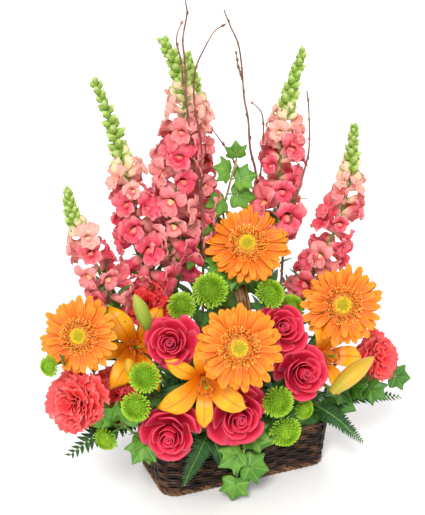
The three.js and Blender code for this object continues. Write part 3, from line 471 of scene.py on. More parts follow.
def sheet(name, place, across, along, thick, wrap=False):
    # a thin closed blade: place(s, t) in millimetres, s from -1 to 1 across, t from 0 to 1 along
    columns = across if wrap else across + 1
    points, marks, faces = [], [], []
    for i in range(along + 1):
        for j in range(columns):
            s, t = 2 * j / across - 1, i / along
            points.append(Vector([float(value) for value in place(s, t)]) * mm)
            marks += [s, t, 0]
    for i in range(along):
        for j in range(across):
            right = (j + 1) % columns
            a, b = i * columns, (i + 1) * columns
            faces.append((a + j, b + j, b + right, a + right))
    mesh = bpy.data.meshes.new(name)
    mesh.from_pydata(points, [], faces)
    mesh.attributes.new("petal", "FLOAT_VECTOR", "POINT").data.foreach_set("vector", marks)
    made = link(name, mesh)
    if thick:
        shell = made.modifiers.new("thickness", "SOLIDIFY")
        shell.thickness = thick * mm
        shell.offset = 0
    return settle(made)


def blade(spine, widths, cup=0.0, rounding=0.0, ruffle=None, teeth=0.0):
    # a petal's surface from its side view (out, up) and its half widths, with small teeth at its tip
    def place(s, t):
        out, lift = smooth(spine, t)
        ahead = smooth(spine, min(t + 0.02, 1)) - smooth(spine, max(t - 0.02, 0))
        ahead = ahead / (np.hypot(*ahead) or 1)
        bend = (cup(t) if callable(cup) else cup) * s * s
        if ruffle:
            bend += ruffle(s, t)
        pull = rounding * s * s * max(0.0, (t - 0.7) / 0.3) ** 2
        pull += teeth * (0.5 + 0.5 * math.cos(3 * math.pi * s)) * max(0.0, (t - 0.88) / 0.12)
        far = out - ahead[1] * bend - ahead[0] * pull
        return far, s * smooth(widths, t), lift + ahead[0] * bend - ahead[1] * pull

    return place


def around(s, wide, tall=None):
    # a point of a rounded section, s from -1 to 1 round it
    return wide * math.cos(s * math.pi), (wide if tall is None else tall) * math.sin(s * math.pi)


def stalk(name, line, *radii):
    return rod(name, line, radii, "greenStalk", 2)


def domed(name, outline, sides, finish):
    # a solid of revolution round +Z from stops of (share, (radius, height))
    def place(s, t):
        radius, height = smooth(outline, t)
        return *around(s, max(radius, 0.1)), height

    made = sheet(name, place, sides, 10, 0, True)
    made.data.materials.append(finishes[finish])
    return made


def family(name, *members):
    # shapes that a tree picks from, kept out of the scene
    made = bpy.data.collections.new(name)
    for member in members:
        scene.collection.objects.unlink(member)
        made.objects.link(member)
    return made


# growth trees

def startTree(name, sizes):
    tree = bpy.data.node_groups.new(name, "GeometryNodeTree")
    tree.interface.new_socket("Geometry", in_out="INPUT", socket_type="NodeSocketGeometry")
    tree.interface.new_socket("Geometry", in_out="OUTPUT", socket_type="NodeSocketGeometry")
    entry = tree.nodes.new("NodeGroupInput")
    wires = {}
    for key, value in sizes.items():
        kinds = {int: "Int", float: "Float", tuple: "Vector", str: value}
        socket = tree.interface.new_socket(key, in_out="INPUT", socket_type="NodeSocket" + kinds[type(value)])
        if not isinstance(value, str):
            socket.default_value = value
        wires[key] = Wire(entry.outputs[key])
    wires["Geometry"] = Wire(entry.outputs["Geometry"])
    return tree, wires


def chance(tree, low, high, seed, shift):
    settings = {"data_type": "FLOAT"}
    values = {2: low, 3: high, 8: seed + shift}
    return add(tree, "FunctionNodeRandomValue", settings, values, 1)


def between(wires, key, share):
    # an input that runs on to its End value
    return wires[key] + (wires[key + " End"] - wires[key]) * share


def rank(tree, wires):
    # a point's index, and how far down the row it is, from 0 to 1
    index = add(tree, "GeometryNodeInputIndex")
    last = wires["Count"] - 1
    return index, index / last.math("MAXIMUM", last, 1)


def spun(tree, roll, lean, angle):
    # a shape's own turns: about its length, tipped up, and round the stem
    turns = add(tree, "ShaderNodeCombineXYZ", None, [roll, 0 - lean, angle])
    return add(tree, "FunctionNodeEulerToRotation", None, [turns])


def spunFrom(tree, base, towards, *turns):
    # the same on a base whose X is first brought towards a vector, about its Z
    settings = {"axis": "X", "pivot_axis": "Z"}
    facing = add(tree, "FunctionNodeAlignRotationToVector", settings, {"Rotation": base, "Vector": towards})
    return add(tree, "FunctionNodeRotateRotation", {"rotation_space": "LOCAL"}, [facing, spun(tree, *turns)])


def store(tree, geometry, label, value, domain="POINT"):
    settings = {"data_type": "FLOAT", "domain": domain}
    values = {"Geometry": geometry, "Name": label, "Value": value}
    return add(tree, "GeometryNodeStoreNamedAttribute", settings, values)


def scaledVector(tree, vector, factor):
    return add(tree, "ShaderNodeVectorMath", {"operation": "SCALE"}, {0: vector, "Scale": factor})


def endTree(tree, wires, made):
    # the finish, joined to what the layers before this one made
    painted = add(tree, "GeometryNodeSetMaterial", None, {"Geometry": made, "Material": wires["Finish"]})
    joined = add(tree, "GeometryNodeJoinGeometry", None, [painted])
    tree.links.new(wires["Geometry"].socket, joined.socket.node.inputs[0])
    leave = tree.nodes.new("NodeGroupOutput")
    tree.links.new(joined.socket, leave.inputs[0])
    return tree


def placeShapes(tree, wires, points, share, rotation, size):
    # one shape on each point, with its rank and a random tone, made real and given its finish
    shapes = add(tree, "GeometryNodeCollectionInfo", None, {0: wires["Shapes"], 1: True, 2: True})
    pick = add(tree, "FunctionNodeRandomValue", {"data_type": "INT"}, {4: 0, 5: 99, 8: wires["Seed"]}, 2)
    chosen = add(tree, "GeometryNodeInputIndex") * wires["Ordered"] + pick * (1 - wires["Ordered"])
    scale = add(tree, "ShaderNodeCombineXYZ", None, [size, size, size])
    values = {
        "Points": points, "Instance": shapes, "Pick Instance": True, "Instance Index": chosen,
        "Rotation": rotation, "Scale": scale}
    placed = add(tree, "GeometryNodeInstanceOnPoints", None, values)
    placed = store(tree, placed, "order", share, "INSTANCE")
    placed = store(tree, placed, "tone", chance(tree, 0.0, 1.0, wires["Seed"], 7), "INSTANCE")
    return endTree(tree, wires, add(tree, "GeometryNodeRealizeInstances", None, [placed]))


def makeSpiralTree():
    # shapes round +Z, from the middle of a head outwards, or in rings
    tree, w = startTree("spiral", {
        "Shapes": "Collection", "Count": 12, "Turn": goldenTurn, "Start": 0.0, "Radius": 0.0, "Radius End": 0.0,
        "Radius Power": 1.0, "Height": 0.0, "Height End": 0.0, "Height Power": 1.0, "Lean": 0.0,
        "Lean End": 0.0, "Size": 1.0, "Size End": 1.0, "Ordered": 0, "Jitter": 0.0, "Seed": 0,
        "Finish": "Material"})
    index, share = rank(tree, w)
    seed, jitter = w["Seed"], w["Jitter"]
    angle = w["Start"] + index * w["Turn"] + chance(tree, -0.12, 0.12, seed, 1) * jitter
    radius = between(w, "Radius", share ** w["Radius Power"])
    height = between(w, "Height", share ** w["Height Power"])
    where = add(tree, "ShaderNodeCombineXYZ", None, [angle.cos() * radius, angle.sin() * radius, height])
    points = add(tree, "GeometryNodePoints", None, {"Count": w["Count"], "Position": where})
    lean = between(w, "Lean", share) + chance(tree, -0.14, 0.14, seed, 2) * jitter
    rotation = spun(tree, chance(tree, -0.2, 0.2, seed, 3) * jitter, lean, angle)
    size = between(w, "Size", share) + chance(tree, -0.09, 0.09, seed, 4) * jitter
    return placeShapes(tree, w, points, share, rotation, size)


def makeTrailTree():
    # shapes along a line: Turn goes round it from one to the next, Lean tips them towards its end
    tree, w = startTree("trail", {
        "Path": "Object", "Shapes": "Collection", "Count": 12, "From": 0.0, "To": 1.0, "Side": (1.0, 0.0, 0.0),
        "Turn": goldenTurn, "Start": 0.0, "Lean": 0.0, "Lean End": 0.0, "Roll": 0.0, "Size": 1.0,
        "Size End": 1.0, "Size Power": 1.0, "Offset": 0.0, "Ordered": 0, "Jitter": 0.0, "Seed": 0,
        "Finish": "Material"})
    line = add(tree, "GeometryNodeObjectInfo", None, {0: w["Path"]}, "Geometry")
    cut = add(tree, "GeometryNodeTrimCurve", {"mode": "FACTOR"}, {0: line, "Start": w["From"], "End": w["To"]})
    spread = add(tree, "GeometryNodeCurveToPoints", {"mode": "COUNT"}, {0: cut, "Count": w["Count"]})
    tangent = Wire(spread.socket.node.outputs["Tangent"])
    index, share = rank(tree, w)
    seed, jitter = w["Seed"], w["Jitter"]
    along = add(tree, "FunctionNodeAlignRotationToVector", {"axis": "Z"}, {"Vector": tangent})
    angle = w["Start"] + index * w["Turn"] + chance(tree, -0.25, 0.25, seed, 1) * jitter
    lean = between(w, "Lean", share) + chance(tree, -0.2, 0.2, seed, 2) * jitter
    roll = w["Roll"] * (1 - index.modulo(2) * 2) + chance(tree, -0.3, 0.3, seed, 3) * jitter
    rotation = spunFrom(tree, along, w["Side"], roll, lean, angle)
    size = between(w, "Size", share ** w["Size Power"]) * (1 + chance(tree, -0.12, 0.12, seed, 4) * jitter)
    shift = scaledVector(tree, tangent, chance(tree, -1.0, 1.0, seed, 5) * w["Offset"])
    shifted = add(tree, "GeometryNodeSetPosition", None, {"Geometry": spread, "Offset": shift})
    return placeShapes(tree, w, shifted, share, rotation, size)


def makeScatterTree():
    # shapes strewn over a surface, each pointing away from the middle and tipped up by Lean
    tree, w = startTree("scatter", {
        "Surface": "Object", "Shapes": "Collection", "Apart": 0.004, "Density": 20000.0, "Spread": 1.0,
        "Lean": 0.4, "Size": 1.0, "Ordered": 0, "Jitter": 1.0, "Seed": 0, "Finish": "Material"})
    skin = add(tree, "GeometryNodeObjectInfo", None, {0: w["Surface"]}, "Geometry")
    values = {"Mesh": skin, "Distance Min": w["Apart"], "Density Max": w["Density"], "Seed": w["Seed"]}
    spread = add(tree, "GeometryNodeDistributePointsOnFaces", {"distribute_method": "POISSON"}, values)
    normal = Wire(spread.socket.node.outputs["Rotation"])
    outward = add(tree, "GeometryNodeInputPosition")
    seed, jitter = w["Seed"], w["Jitter"]
    angle = chance(tree, -1.0, 1.0, seed, 1) * w["Spread"]
    lean = w["Lean"] + chance(tree, -0.4, 0.4, seed, 2) * jitter
    rotation = spunFrom(tree, normal, outward, chance(tree, -0.4, 0.4, seed, 3) * jitter, lean, angle)
    size = w["Size"] * (1 + chance(tree, -0.25, 0.25, seed, 4) * jitter)
    return placeShapes(tree, w, spread, chance(tree, 0.0, 1.0, seed, 5), rotation, size)


def makeWeaveTree():
    # strands round the basket: Out and Up swing them about the wall, row by row
    tree, w = startTree("weave", {
        "Length": 0.2, "Width": 0.1, "Corner": 0.02, "Rows": 1, "Pitch": 0.005, "Base": 0.0, "Flare": 0.0,
        "Waves": 20.0, "Row Shift": 0.0, "Start": 0.0, "Out": 0.001, "Up": 0.0, "Thickness": 0.003,
        "Strand": 0.005, "Wobble": 0.0004, "Steps": 400, "Seed": 0, "Finish": "Material"})
    sides = {"Width": w["Length"], "Height": w["Width"]}
    box = add(tree, "GeometryNodeCurvePrimitiveQuadrilateral", None, sides)
    corners = {"Curve": box, "Radius": w["Corner"], "Count": 8}
    fillet = add(tree, "GeometryNodeFilletCurve", {"mode": "POLY"}, corners)
    even = add(tree, "GeometryNodeResampleCurve", {"mode": "COUNT"}, {"Curve": fillet, "Count": w["Steps"]})
    index = add(tree, "GeometryNodeInputIndex")
    level = add(tree, "ShaderNodeCombineXYZ", None, [0.0, 0.0, w["Base"] + index * w["Pitch"]])
    rows = add(tree, "GeometryNodePoints", None, {"Count": w["Rows"], "Position": level})
    loops = add(tree, "GeometryNodeInstanceOnPoints", None, {"Points": rows, "Instance": even})
    real = add(tree, "GeometryNodeRealizeInstances", None, [loops])
    place = add(tree, "GeometryNodeInputPosition")
    height = add(tree, "ShaderNodeSeparateXYZ", None, [place], 2)
    row = ((height - w["Base"]) / w["Pitch"] + 0.5).floor()
    factor = add(tree, "GeometryNodeSplineParameter")
    swing = factor * w["Waves"] * (2 * math.pi) + row * w["Row Shift"] + w["Start"]
    tangent = add(tree, "GeometryNodeInputTangent")
    outward = add(tree, "ShaderNodeVectorMath", {"operation": "CROSS_PRODUCT"}, {0: (0, 0, -1), 1: tangent})
    grain = add(tree, "ShaderNodeTexNoise", None, {"Vector": place, "Scale": 130.0})
    wobble = (grain - 0.5) * w["Wobble"] * 2
    aside = scaledVector(tree, outward, swing.sin() * w["Out"] + height * w["Flare"] + wobble)
    lift = add(tree, "ShaderNodeCombineXYZ", None, [0.0, 0.0, swing.cos() * w["Up"] + wobble])
    shift = add(tree, "ShaderNodeVectorMath", {"operation": "ADD"}, [aside, lift])
    settings = {"data_type": "FLOAT"}
    tone = add(tree, "FunctionNodeRandomValue", settings, {2: 0.0, 3: 1.0, 7: row, 8: w["Seed"]}, 1)
    # order holds how far each strand swings out, where the willow finish paints a highlight on its crown
    wearAndHighlight = store(tree, store(tree, real, "tone", tone), "order", swing.sin() * 0.5 + 0.5)
    moved = add(tree, "GeometryNodeSetPosition", None, {"Geometry": wearAndHighlight, "Offset": shift})
    upright = add(tree, "GeometryNodeSetCurveNormal", {"mode": "Z_UP"}, {"Curve": moved})
    circle = add(tree, "GeometryNodeCurvePrimitiveCircle", None, {"Resolution": 8, "Radius": 0.5})
    section = add(tree, "ShaderNodeCombineXYZ", None, [w["Strand"], w["Thickness"], 1.0])
    sized = add(tree, "GeometryNodeTransform", None, {"Geometry": circle, "Scale": section})
    swept = add(tree, "GeometryNodeCurveToMesh", None, {"Curve": upright, "Profile Curve": sized})
    return endTree(tree, w, swept)


trees = {
    "spiral": makeSpiralTree(),
    "trail": makeTrailTree(),
    "scatter": makeScatterTree(),
    "weave": makeWeaveTree(),
}
inMillimetres = {
    "Radius", "Height", "Offset", "Apart", "Length", "Width", "Corner", "Pitch", "Base", "Out", "Up",
    "Thickness", "Strand", "Wobble"}


def grow(made, treeName, values):
    # adds a tree as a modifier, its inputs set by identifier; a pair gives an input and its End
    tree = trees[treeName]
    modifier = made.modifiers.new(treeName, "NODES")
    modifier.node_group = tree
    names = {item.name: item.identifier for item in tree.interface.items_tree if item.in_out == "INPUT"}
    for key, value in values.items():
        pair = value if isinstance(value, tuple) and key + " End" in names else (value,)
        for label, each in zip((key, key + " End"), pair):
            if key == "Finish":
                each = finishes[each]
            modifier[names[label]] = each * mm if key in inMillimetres else each


def ring(count):
    return {"Count": count, "Turn": 2 * math.pi / count}


def head(name, layers):
    # a flower head round +Z from layers of a spiral
    made = link(name, bpy.data.meshes.new(name))
    for layer in layers:
        grow(made, "spiral", layer)
    return settle(made)


def seat(made, bloom, scale=1.0):
    # moves a head from +Z to its place in the mesh
    turn = up.rotation_difference(Vector(bloom["facing"]).normalized()).to_matrix().to_4x4()
    made.data.transform(Matrix.Translation(spot(bloom["at"])) @ turn @ Matrix.Scale(scale, 4))
    return made


def join(name, parts):
    # several objects as one
    with bpy.context.temp_override(active_object=parts[0], object=parts[0], selected_editable_objects=parts,
                                   selected_objects=parts):
        bpy.ops.object.join()
    parts[0].name = name
    return parts[0]


def keep(made, slotName, *nodes):
    # the finished piece rides on the basket and stands for its nodes
    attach(made, "root")
    if nodes:
        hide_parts(*nodes)


# basket, handle, liner and foam

basketSizes = {
    "length": 215, "width": 100, "corner": 20, "height": 64, "flare": 0.1,
    "rows": 8, "waves": 21, "strand": 3.7, "thickness": 2.7, "relief": 1.5, "wobble": 0.9,
    "depth": 2.6,  # from the outside of the wall to the middle of the stakes
    "cord": 3.5, "cordWaves": 26.0, "cordSwing": 1.7, "cordStrand": 3.2,
}


def basketLoop(inset, z, count):
    # points round the wall, in millimetres
    b = basketSizes
    wider = b["flare"] * z - inset
    x, y, r = b["length"] / 2 + wider, b["width"] / 2 + wider, b["corner"] - inset
    runs = []
    for cx, cy, start in ((x - r, -y + r, -90), (x - r, y - r, 0), (-x + r, y - r, 90), (-x + r, -y + r, 180)):
        for i in range(7):
            angle = math.radians(start + 15 * i)
            runs.append(Vector((cx + r * math.cos(angle), cy + r * math.sin(angle), z)))
    runs.append(runs[0])
    lengths = [0.0]
    for a, c in zip(runs, runs[1:]):
        lengths.append(lengths[-1] + (c - a).length)
    made = []
    for i in range(count):
        far = lengths[-1] * i / count
        k = bisect.bisect(lengths, far) - 1
        made.append(runs[k].lerp(runs[k + 1], (far - lengths[k]) / (lengths[k + 1] - lengths[k])))
    return made


def makeBasket():
    b = basketSizes
    depth, stakes = b["depth"], 4 * b["waves"]
    base = {
        "Length": b["length"] - 2 * depth, "Width": b["width"] - 2 * depth, "Corner": b["corner"] - depth,
        "Flare": b["flare"], "Steps": 480}
    low, high = 2 * b["cord"], b["height"] - 2 * b["cord"]
    pitch = (high - low) / b["rows"]
    made = link("wovenBasket", bpy.data.meshes.new("wovenBasket"))
    for pair in (0.24, 0.76):
        grow(made, "weave", {
            **base, "Rows": b["rows"], "Pitch": pitch, "Base": low + pitch * pair, "Waves": float(b["waves"]),
            "Row Shift": math.pi, "Start": 0.3 * pair, "Out": b["relief"], "Thickness": b["thickness"],
            "Strand": b["strand"], "Wobble": b["wobble"], "Seed": round(30 * pair), "Finish": "darkWillow"})
    for cord, level in enumerate((b["cord"], b["height"] - b["cord"])):
        for strand in range(3):
            grow(made, "weave", {
                **base, "Base": level, "Waves": b["cordWaves"], "Start": strand * 2 * math.pi / 3 + cord,
                "Out": b["cordSwing"], "Up": b["cordSwing"], "Thickness": b["cordStrand"],
                "Strand": b["cordStrand"], "Wobble": 0.3, "Seed": 5 + strand,
                "Finish": "darkWillow" if cord or not strand else "rubbedWillow"})
    parts = [settle(made)]
    for foot, top in zip(basketLoop(depth, 3, stakes)[1::2], basketLoop(depth, high + 3, stakes)[1::2]):
        parts.append(rod("stake", [foot, top], [1.5], "darkWillow", 0))
    for x in range(-96, 97, 6):
        half = b["width"] / 2 - 5 - max(0, abs(x) - 88)
        z = 2.9 if (x // 6) % 2 else 1.9
        parts.append(rod("baseRod", [Vector((x, -half, z)), Vector((x, half, z))], [2.2], "darkWillow"))
    for y in range(-40, 41, 10):
        line = [Vector((x, y, 3.5 if (x // 6 + y // 10) % 2 else 1.7)) for x in range(-99, 100, 6)]
        parts.append(rod("baseStrand", line, [1.5], "darkWillow"))
    return join("wovenBasket", parts)


handleSizes = {"rods": 4, "pitch": 4.2, "thickness": 3.8, "top": 250, "scatter": 0.12}


def makeHandle():
    h = handleSizes
    foot = basketSizes["width"] / 2 - 5 - 0.6 - h["thickness"] / 2
    side = [(foot + 0.63, 6.3), (foot + 6.2, 62), (53, 112), (51, 162), (41, 206), (23, h["top"] - 12)]
    line = [Vector((0, -out, z)) for out, z in side]
    line.append(Vector((0, 0, h["top"])))
    line += [Vector((0, out, z)) for out, z in reversed(side)]
    arch = through(line, 6)
    draw = random.Random(4)
    parts = []
    for k in range(h["rods"]):
        x = (k + 0.5 - h["rods"] / 2) * h["pitch"]
        off = h["scatter"]
        run = [p + Vector((x + draw.uniform(-off, off), 0, draw.uniform(-0.1, 0.1))) for p in arch]
        parts.append(rod("handleRod", run, [h["thickness"] / 2 + 0.1], "paleWillow", 2))
    return join("handleRods", parts)


keep(makeBasket(), "willow_dark", "basket")
keep(makeHandle(), "willow_light", "handle")
for node, finish in (("liner", "linerFilm"), ("foam", "wetFoam")):
    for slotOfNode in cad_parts[node].material_slots:
        slotOfNode.material = finishes[finish]
print("basket woven")


# gerberas, for a bloom 96 mm across

gerberas = {
    "top": {"at": (10, -15, 293), "facing": (-0.26, -0.65, 0.71), "across": 98, "foot": (22, 6)},
    "front": {"at": (-49, -130, 227), "facing": (-0.35, -0.87, 0.36), "across": 94, "foot": (-22, -12)},
    "right": {"at": (113, -60, 220), "facing": (-0.36, -0.83, 0.42), "across": 98, "foot": (58, -10)},
    "left": {"at": (-201, -50, 232), "facing": (-0.42, -0.8, 0.43), "across": 86, "foot": (-80, 8)},
}
gerberaSizes = {
    "drawn": 96, "rays": 35, "innerRays": 32, "shortRays": 44, "ruff": 460, "eye": 170, "bracts": 34,
    "length": 48.5, "half": 4.6, "shortLength": 27, "shortHalf": 1.35, "eyeRadius": 8.2, "ruffRadius": 20.5,
}


def rayShape(length, bow, cup, wide):
    # a ray petal that rises from the disc and dips at its three-toothed tip
    spine = [
        (0, (9, -2)), (0.25, (18, 1 + bow)), (0.65, (length * 0.72, 2.4 + bow)), (1, (length, 0.4 - 2 * bow))]
    shares = [(0.3, 0.66), (0.68, 1.0), (0.88, 0.86), (0.96, 0.6), (1, 0.34)]
    widths = [(0, 1.2), *[(at, share * wide) for at, share in shares]]
    return blade(spine, widths, cup, 1.0, lambda s, t: 0.4 * math.cos(3 * math.pi * s) * t, 1.5)


def makeRays():
    g = gerberaSizes
    long, short = [], []
    for k in range(4):
        place = rayShape(g["length"] - 1.2 * k, 0.8 * k - 1.0, 0.9 - 0.6 * k, g["half"] - 0.2 * k)
        long.append(sheet("ray", place, 6, 10, 0.7))
        place = rayShape(g["shortLength"] - 2.2 * k, 1.2, 0.6, g["shortHalf"])
        short.append(sheet("shortRay", place, 4, 6, 0.5))
    return family("rays", *long), family("shortRays", *short)


def ruffPlace(k):
    spine = [(0, (0, 0)), (0.5, (3.0 - 0.5 * k, 0.8)), (1, (6.2 - k, 1.8 + 0.5 * k))]
    return blade(spine, [(0, 0.4), (0.6, 0.75), (1, 0.42)], 0.3, 0.4)


def eyePlace(s, t):
    out = smooth([(0, 0), (0.5, 1.4), (1, 2.3)], t)
    return out, *around(s, smooth([(0, 0.5), (0.6, 0.62), (1, 0.1)], t))


rays, shortRays = makeRays()
ruffs = family("ruffs", *[sheet("ruffFloret", ruffPlace(k), 2, 3, 0.4) for k in range(3)])
eyeBuds = family("eyeBuds", sheet("eyeFloret", eyePlace, 5, 3, 0, True))
bracts = family("bracts", sheet("bract", blade(
    [(0, (0, 0)), (0.6, (7, 2.2)), (1, (11, 3.4))], [(0, 1.2), (0.5, 1.5), (1, 0.2)], -0.4, 0.3), 2, 4, 0.5))
discFace = [(0, (0, -1)), (0.3, (15.5, 0)), (0.5, (16.5, 3.6)), (0.74, (10.5, 7.6)), (1, (0, 9.4))]
discBack = [(0, (2, -11)), (0.3, (6.5, -9)), (0.6, (12.5, -3.4)), (0.8, (12, -1.6)), (1, (0, -1.4))]


def makeGerbera(name, bloom, seed):
    g = gerberaSizes
    scale = bloom["across"] / g["drawn"]
    petals = head("gerberaRays_" + name, [
        {"Shapes": rays, **ring(g["rays"]), "Jitter": 0.75, "Seed": seed, "Finish": "gerberaRay"},
        {"Shapes": rays, **ring(g["innerRays"]), "Start": 0.12, "Height": (1.8, 1.8), "Lean": (0.08, 0.08),
         "Size": (0.9, 0.9), "Jitter": 0.9, "Seed": seed + 20, "Finish": "gerberaRay"},
        {"Shapes": shortRays, **ring(g["shortRays"]), "Height": (3.4, 3.4), "Lean": (0.14, 0.14),
         "Jitter": 1.3, "Seed": seed + 40, "Finish": "gerberaShort"},
    ])
    keep(seat(petals, bloom, scale), "gerbera", "gerbera_petals_" + name)
    eye = head("gerberaEye_" + name, [
        {"Shapes": eyeBuds, "Count": g["eye"], "Radius": (0.3, g["eyeRadius"]), "Radius Power": 0.5,
         "Height": (10.2, 8.8), "Lean": (1.5, 0.9), "Size": (0.9, 1.25), "Jitter": 0.6, "Seed": seed + 1,
         "Finish": "gerberaEye"},
        {"Shapes": ruffs, "Count": g["ruff"], "Radius": (7.8, g["ruffRadius"]), "Radius Power": 0.72,
         "Height": (8.4, 4.6), "Lean": (1.15, 0.62), "Size": (0.7, 1.08), "Jitter": 1.1, "Seed": seed + 2,
         "Finish": "gerberaRuff"},
        {"Shapes": bracts, "Count": g["bracts"], "Radius": (4, 8), "Height": (-9.5, -6.5), "Lean": (0.5, 0.35),
         "Jitter": 0.5, "Seed": seed + 3, "Finish": "greenLeaf"},
    ])
    parts = [seat(each, bloom, scale) for each in (
        eye, domed("disc", discFace, 18, "gerberaRuff"), domed("involucre", discBack, 18, "greenStalk"))]
    parts.append(stalk("stem", stemLine(bloom, -6 * scale), 2.9, 2.3, 2.2, 2.6, 4.2))
    keep(join("gerberaStem_" + name, parts), "stem", "gerbera_stem_" + name)


for count, (name, bloom) in enumerate(gerberas.items()):
    makeGerbera(name, bloom, 100 + count)
print("gerberas open")


# leaves of the flower stems

def leafBlade(length, half, bend, teeth=0, depth=0.0, fold=0.12):
    # a leaf on +X, folded along its midrib, with toothed or lobed edges where depth is given
    def place(s, t):
        wide = half * float(smooth([(0, 0.06), (0.12, 0.5), (0.4, 1.0), (0.7, 0.74), (1, 0.02)], t))
        notch = 1 - depth * (0.5 - 0.5 * math.cos(2 * math.pi * teeth * t)) if teeth else 1
        side = s * wide * notch
        lift = length * 0.1 * math.sin(3 * t) - bend * t * t + fold * abs(side)
        return length * t + 0.12 * abs(side), side, lift

    return place


leafKinds = {
    # length and how much longer the next is, half width, bend and more bend, teeth and their depth,
    # faces across and along, thickness
    "lance": (38, 4, 4.8, 6, 5, 0, 0.0, 4, 10, 0.6),
    "lily": (58, 8, 7.0, 16, 10, 0, 0.0, 4, 12, 0.7),
    "rose": (34, 5, 12.5, 6, 4, 9, 0.16, 6, 27, 0.7),
    "mum": (30, 5, 11.5, 6, 4, 3, 0.55, 6, 24, 0.7),
}
foliage = {}
for kind, (length, longer, half, bend, more, teeth, depth, across, along, thick) in leafKinds.items():
    foliage[kind] = family(kind + "Leaves", *[
        sheet(kind + "Leaf", leafBlade(length + longer * k, half, bend + more * k, teeth, depth),
              across, along, thick)
        for k in range(2)])


def foliate(line, kind, count, start, end, seed, size=1.0, lean=0.55):
    # leaves of a kind spread along a stem, turned round it from one to the next
    guide = path("guide", line)
    made = link("foliage", bpy.data.meshes.new("foliage"))
    grow(made, "trail", {
        "Path": guide, "Shapes": foliage[kind], "Count": count, "From": start, "To": end,
        "Lean": (lean, lean + 0.2), "Size": (size, 0.85 * size), "Start": seed * 0.7, "Jitter": 1.0,
        "Seed": seed, "Finish": "greenLeaf"})
    made = settle(made)
    bpy.data.objects.remove(guide)
    return made


# low leaves over the foam

coverSizes = {"x": 98, "y": 42, "rim": 66, "top": 81, "apart": 5.5, "most": 60000.0, "length": 27, "half": 8.5}


def hoodPlace(s, t):
    # a skin over the foam that falls to the rim at its edges
    c = coverSizes
    y = 2 * t - 1
    fall = max(abs(s), abs(y)) ** 9
    return -s * c["x"], y * c["y"], c["top"] - (c["top"] - c["rim"]) * fall


def makeCover():
    c = coverSizes
    hood = sheet("hood", hoodPlace, 40, 24, 0)
    leaves = family("coverLeaves", *[
        sheet("coverLeaf", leafBlade(c["length"] + 5 * k, c["half"] + k, 5 + 4 * k, 4, 0.18), 2, 9, 0.6)
        for k in range(2)])
    made = link("coverLeaves", bpy.data.meshes.new("coverLeaves"))
    grow(made, "scatter", {
        "Surface": hood, "Shapes": leaves, "Apart": c["apart"], "Density": c["most"], "Spread": 1.3,
        "Lean": 0.5, "Seed": 31, "Finish": "greenLeaf"})
    made = settle(made)
    bpy.data.objects.remove(hood)
    return made


keep(makeCover(), "fern")
print("foam covered")


# lilies, for a bloom 120 mm across

lilies = {
    # spin: how far the tepals are turned, as a share of the step between them
    "left": {
        "at": (-137, -46, 205), "facing": (-0.15, -0.9, 0.4), "span": 112, "foot": (-56, -12), "spin": 0.4},
    "middle": {
        "at": (-79, -106, 178), "facing": (-0.3, -0.94, 0.12), "span": 118, "foot": (-40, -28), "spin": 0.06},
    "right": {
        "at": (93, -64, 160), "facing": (0.1, -0.95, 0.3), "span": 112, "foot": (42, -12), "spin": 0.42},
}
lilyBuds = [
    {"on": "left", "from": (-124, -56, 226), "to": (-146, -74, 282), "radius": 7.6, "finish": "greenBud"},
    {"on": "left", "from": (-150, -70, 184), "to": (-157, -80, 211), "radius": 6, "finish": "yellowBud"},
    {"on": "right", "from": (80, -102, 132), "to": (137, -98, 166), "radius": 10.5, "finish": "yellowBud"},
]
lilySizes = {"drawn": 120, "filaments": 6, "anther": 7.5, "leaves": 9}


def tepal(spine, widths, wave):
    return blade(spine, widths, lambda t: 4.4 - 9.0 * t, 1.2,
                 lambda s, t: wave * math.sin(11 * t + 2 * s) * s * s * t + 0.9 * (1 - abs(s)) ** 2 * (1 - t))


def outerTepal(k):
    return tepal(
        [(0, (3, -25)), (0.16, (9, -17)), (0.45, (28, 0.5 + k)), (0.76, (47, 2.5 + k)), (0.9, (55, -2)),
         (1, (59, -9 - 2 * k))],
        [(0, 2.4), (0.16, 5.0), (0.45, 9.8), (0.7, 8.8), (0.87, 5.0), (0.95, 2.4), (1, 0.4)], 1.2)


def innerTepal(k):
    return tepal(
        [(0, (2.6, -24)), (0.16, (8, -15)), (0.42, (25, 4.5 + k)), (0.72, (44, 9 + k)), (0.9, (55, 3)),
         (1, (60, -6 - 3 * k))],
        [(0, 2.6), (0.16, 6.6), (0.44, 13.8), (0.66, 12.8), (0.84, 8.0), (0.94, 3.6), (1, 0.5)], 2.2)


outerTepals = family("outerTepals", *[sheet("outerTepal", outerTepal(k), 10, 20, 1.0) for k in range(2)])
innerTepals = family("innerTepals", *[sheet("innerTepal", innerTepal(k), 12, 20, 1.0) for k in range(2)])


def anther(at, along, length, radius):
    # a pollen-covered anther lying across the end of its filament
    side = along.cross(up).normalized()
    ends = [at - side * length / 2, at + Vector((0, 0, 0.6)), at + side * length / 2]
    return rod("anther", bezier(*ends, steps=6), [radius * 0.5, radius, radius, radius * 0.5], "lilyAnther", 2)


def makeBud(start, end, radius, finish):
    # a closed lily bud, grooved where its three outer tepals meet
    axis = end - start
    turn = up.rotation_difference(axis.normalized())
    rounds = [(0, 0.3), (0.12, 0.66), (0.4, 1.0), (0.68, 0.92), (0.9, 0.46), (1, 0.05)]

    def budPlace(s, t):
        groove = 1 + 0.08 * math.cos(3 * s * math.pi) + 0.03 * math.cos(6 * s * math.pi)
        wide = radius * smooth(rounds, t) * groove
        return start + turn @ Vector((*around(s, wide), axis.length * t))

    made = sheet("lilyBud", budPlace, 24, 14, 0, True)
    made.data.materials.append(finishes[finish])
    return made


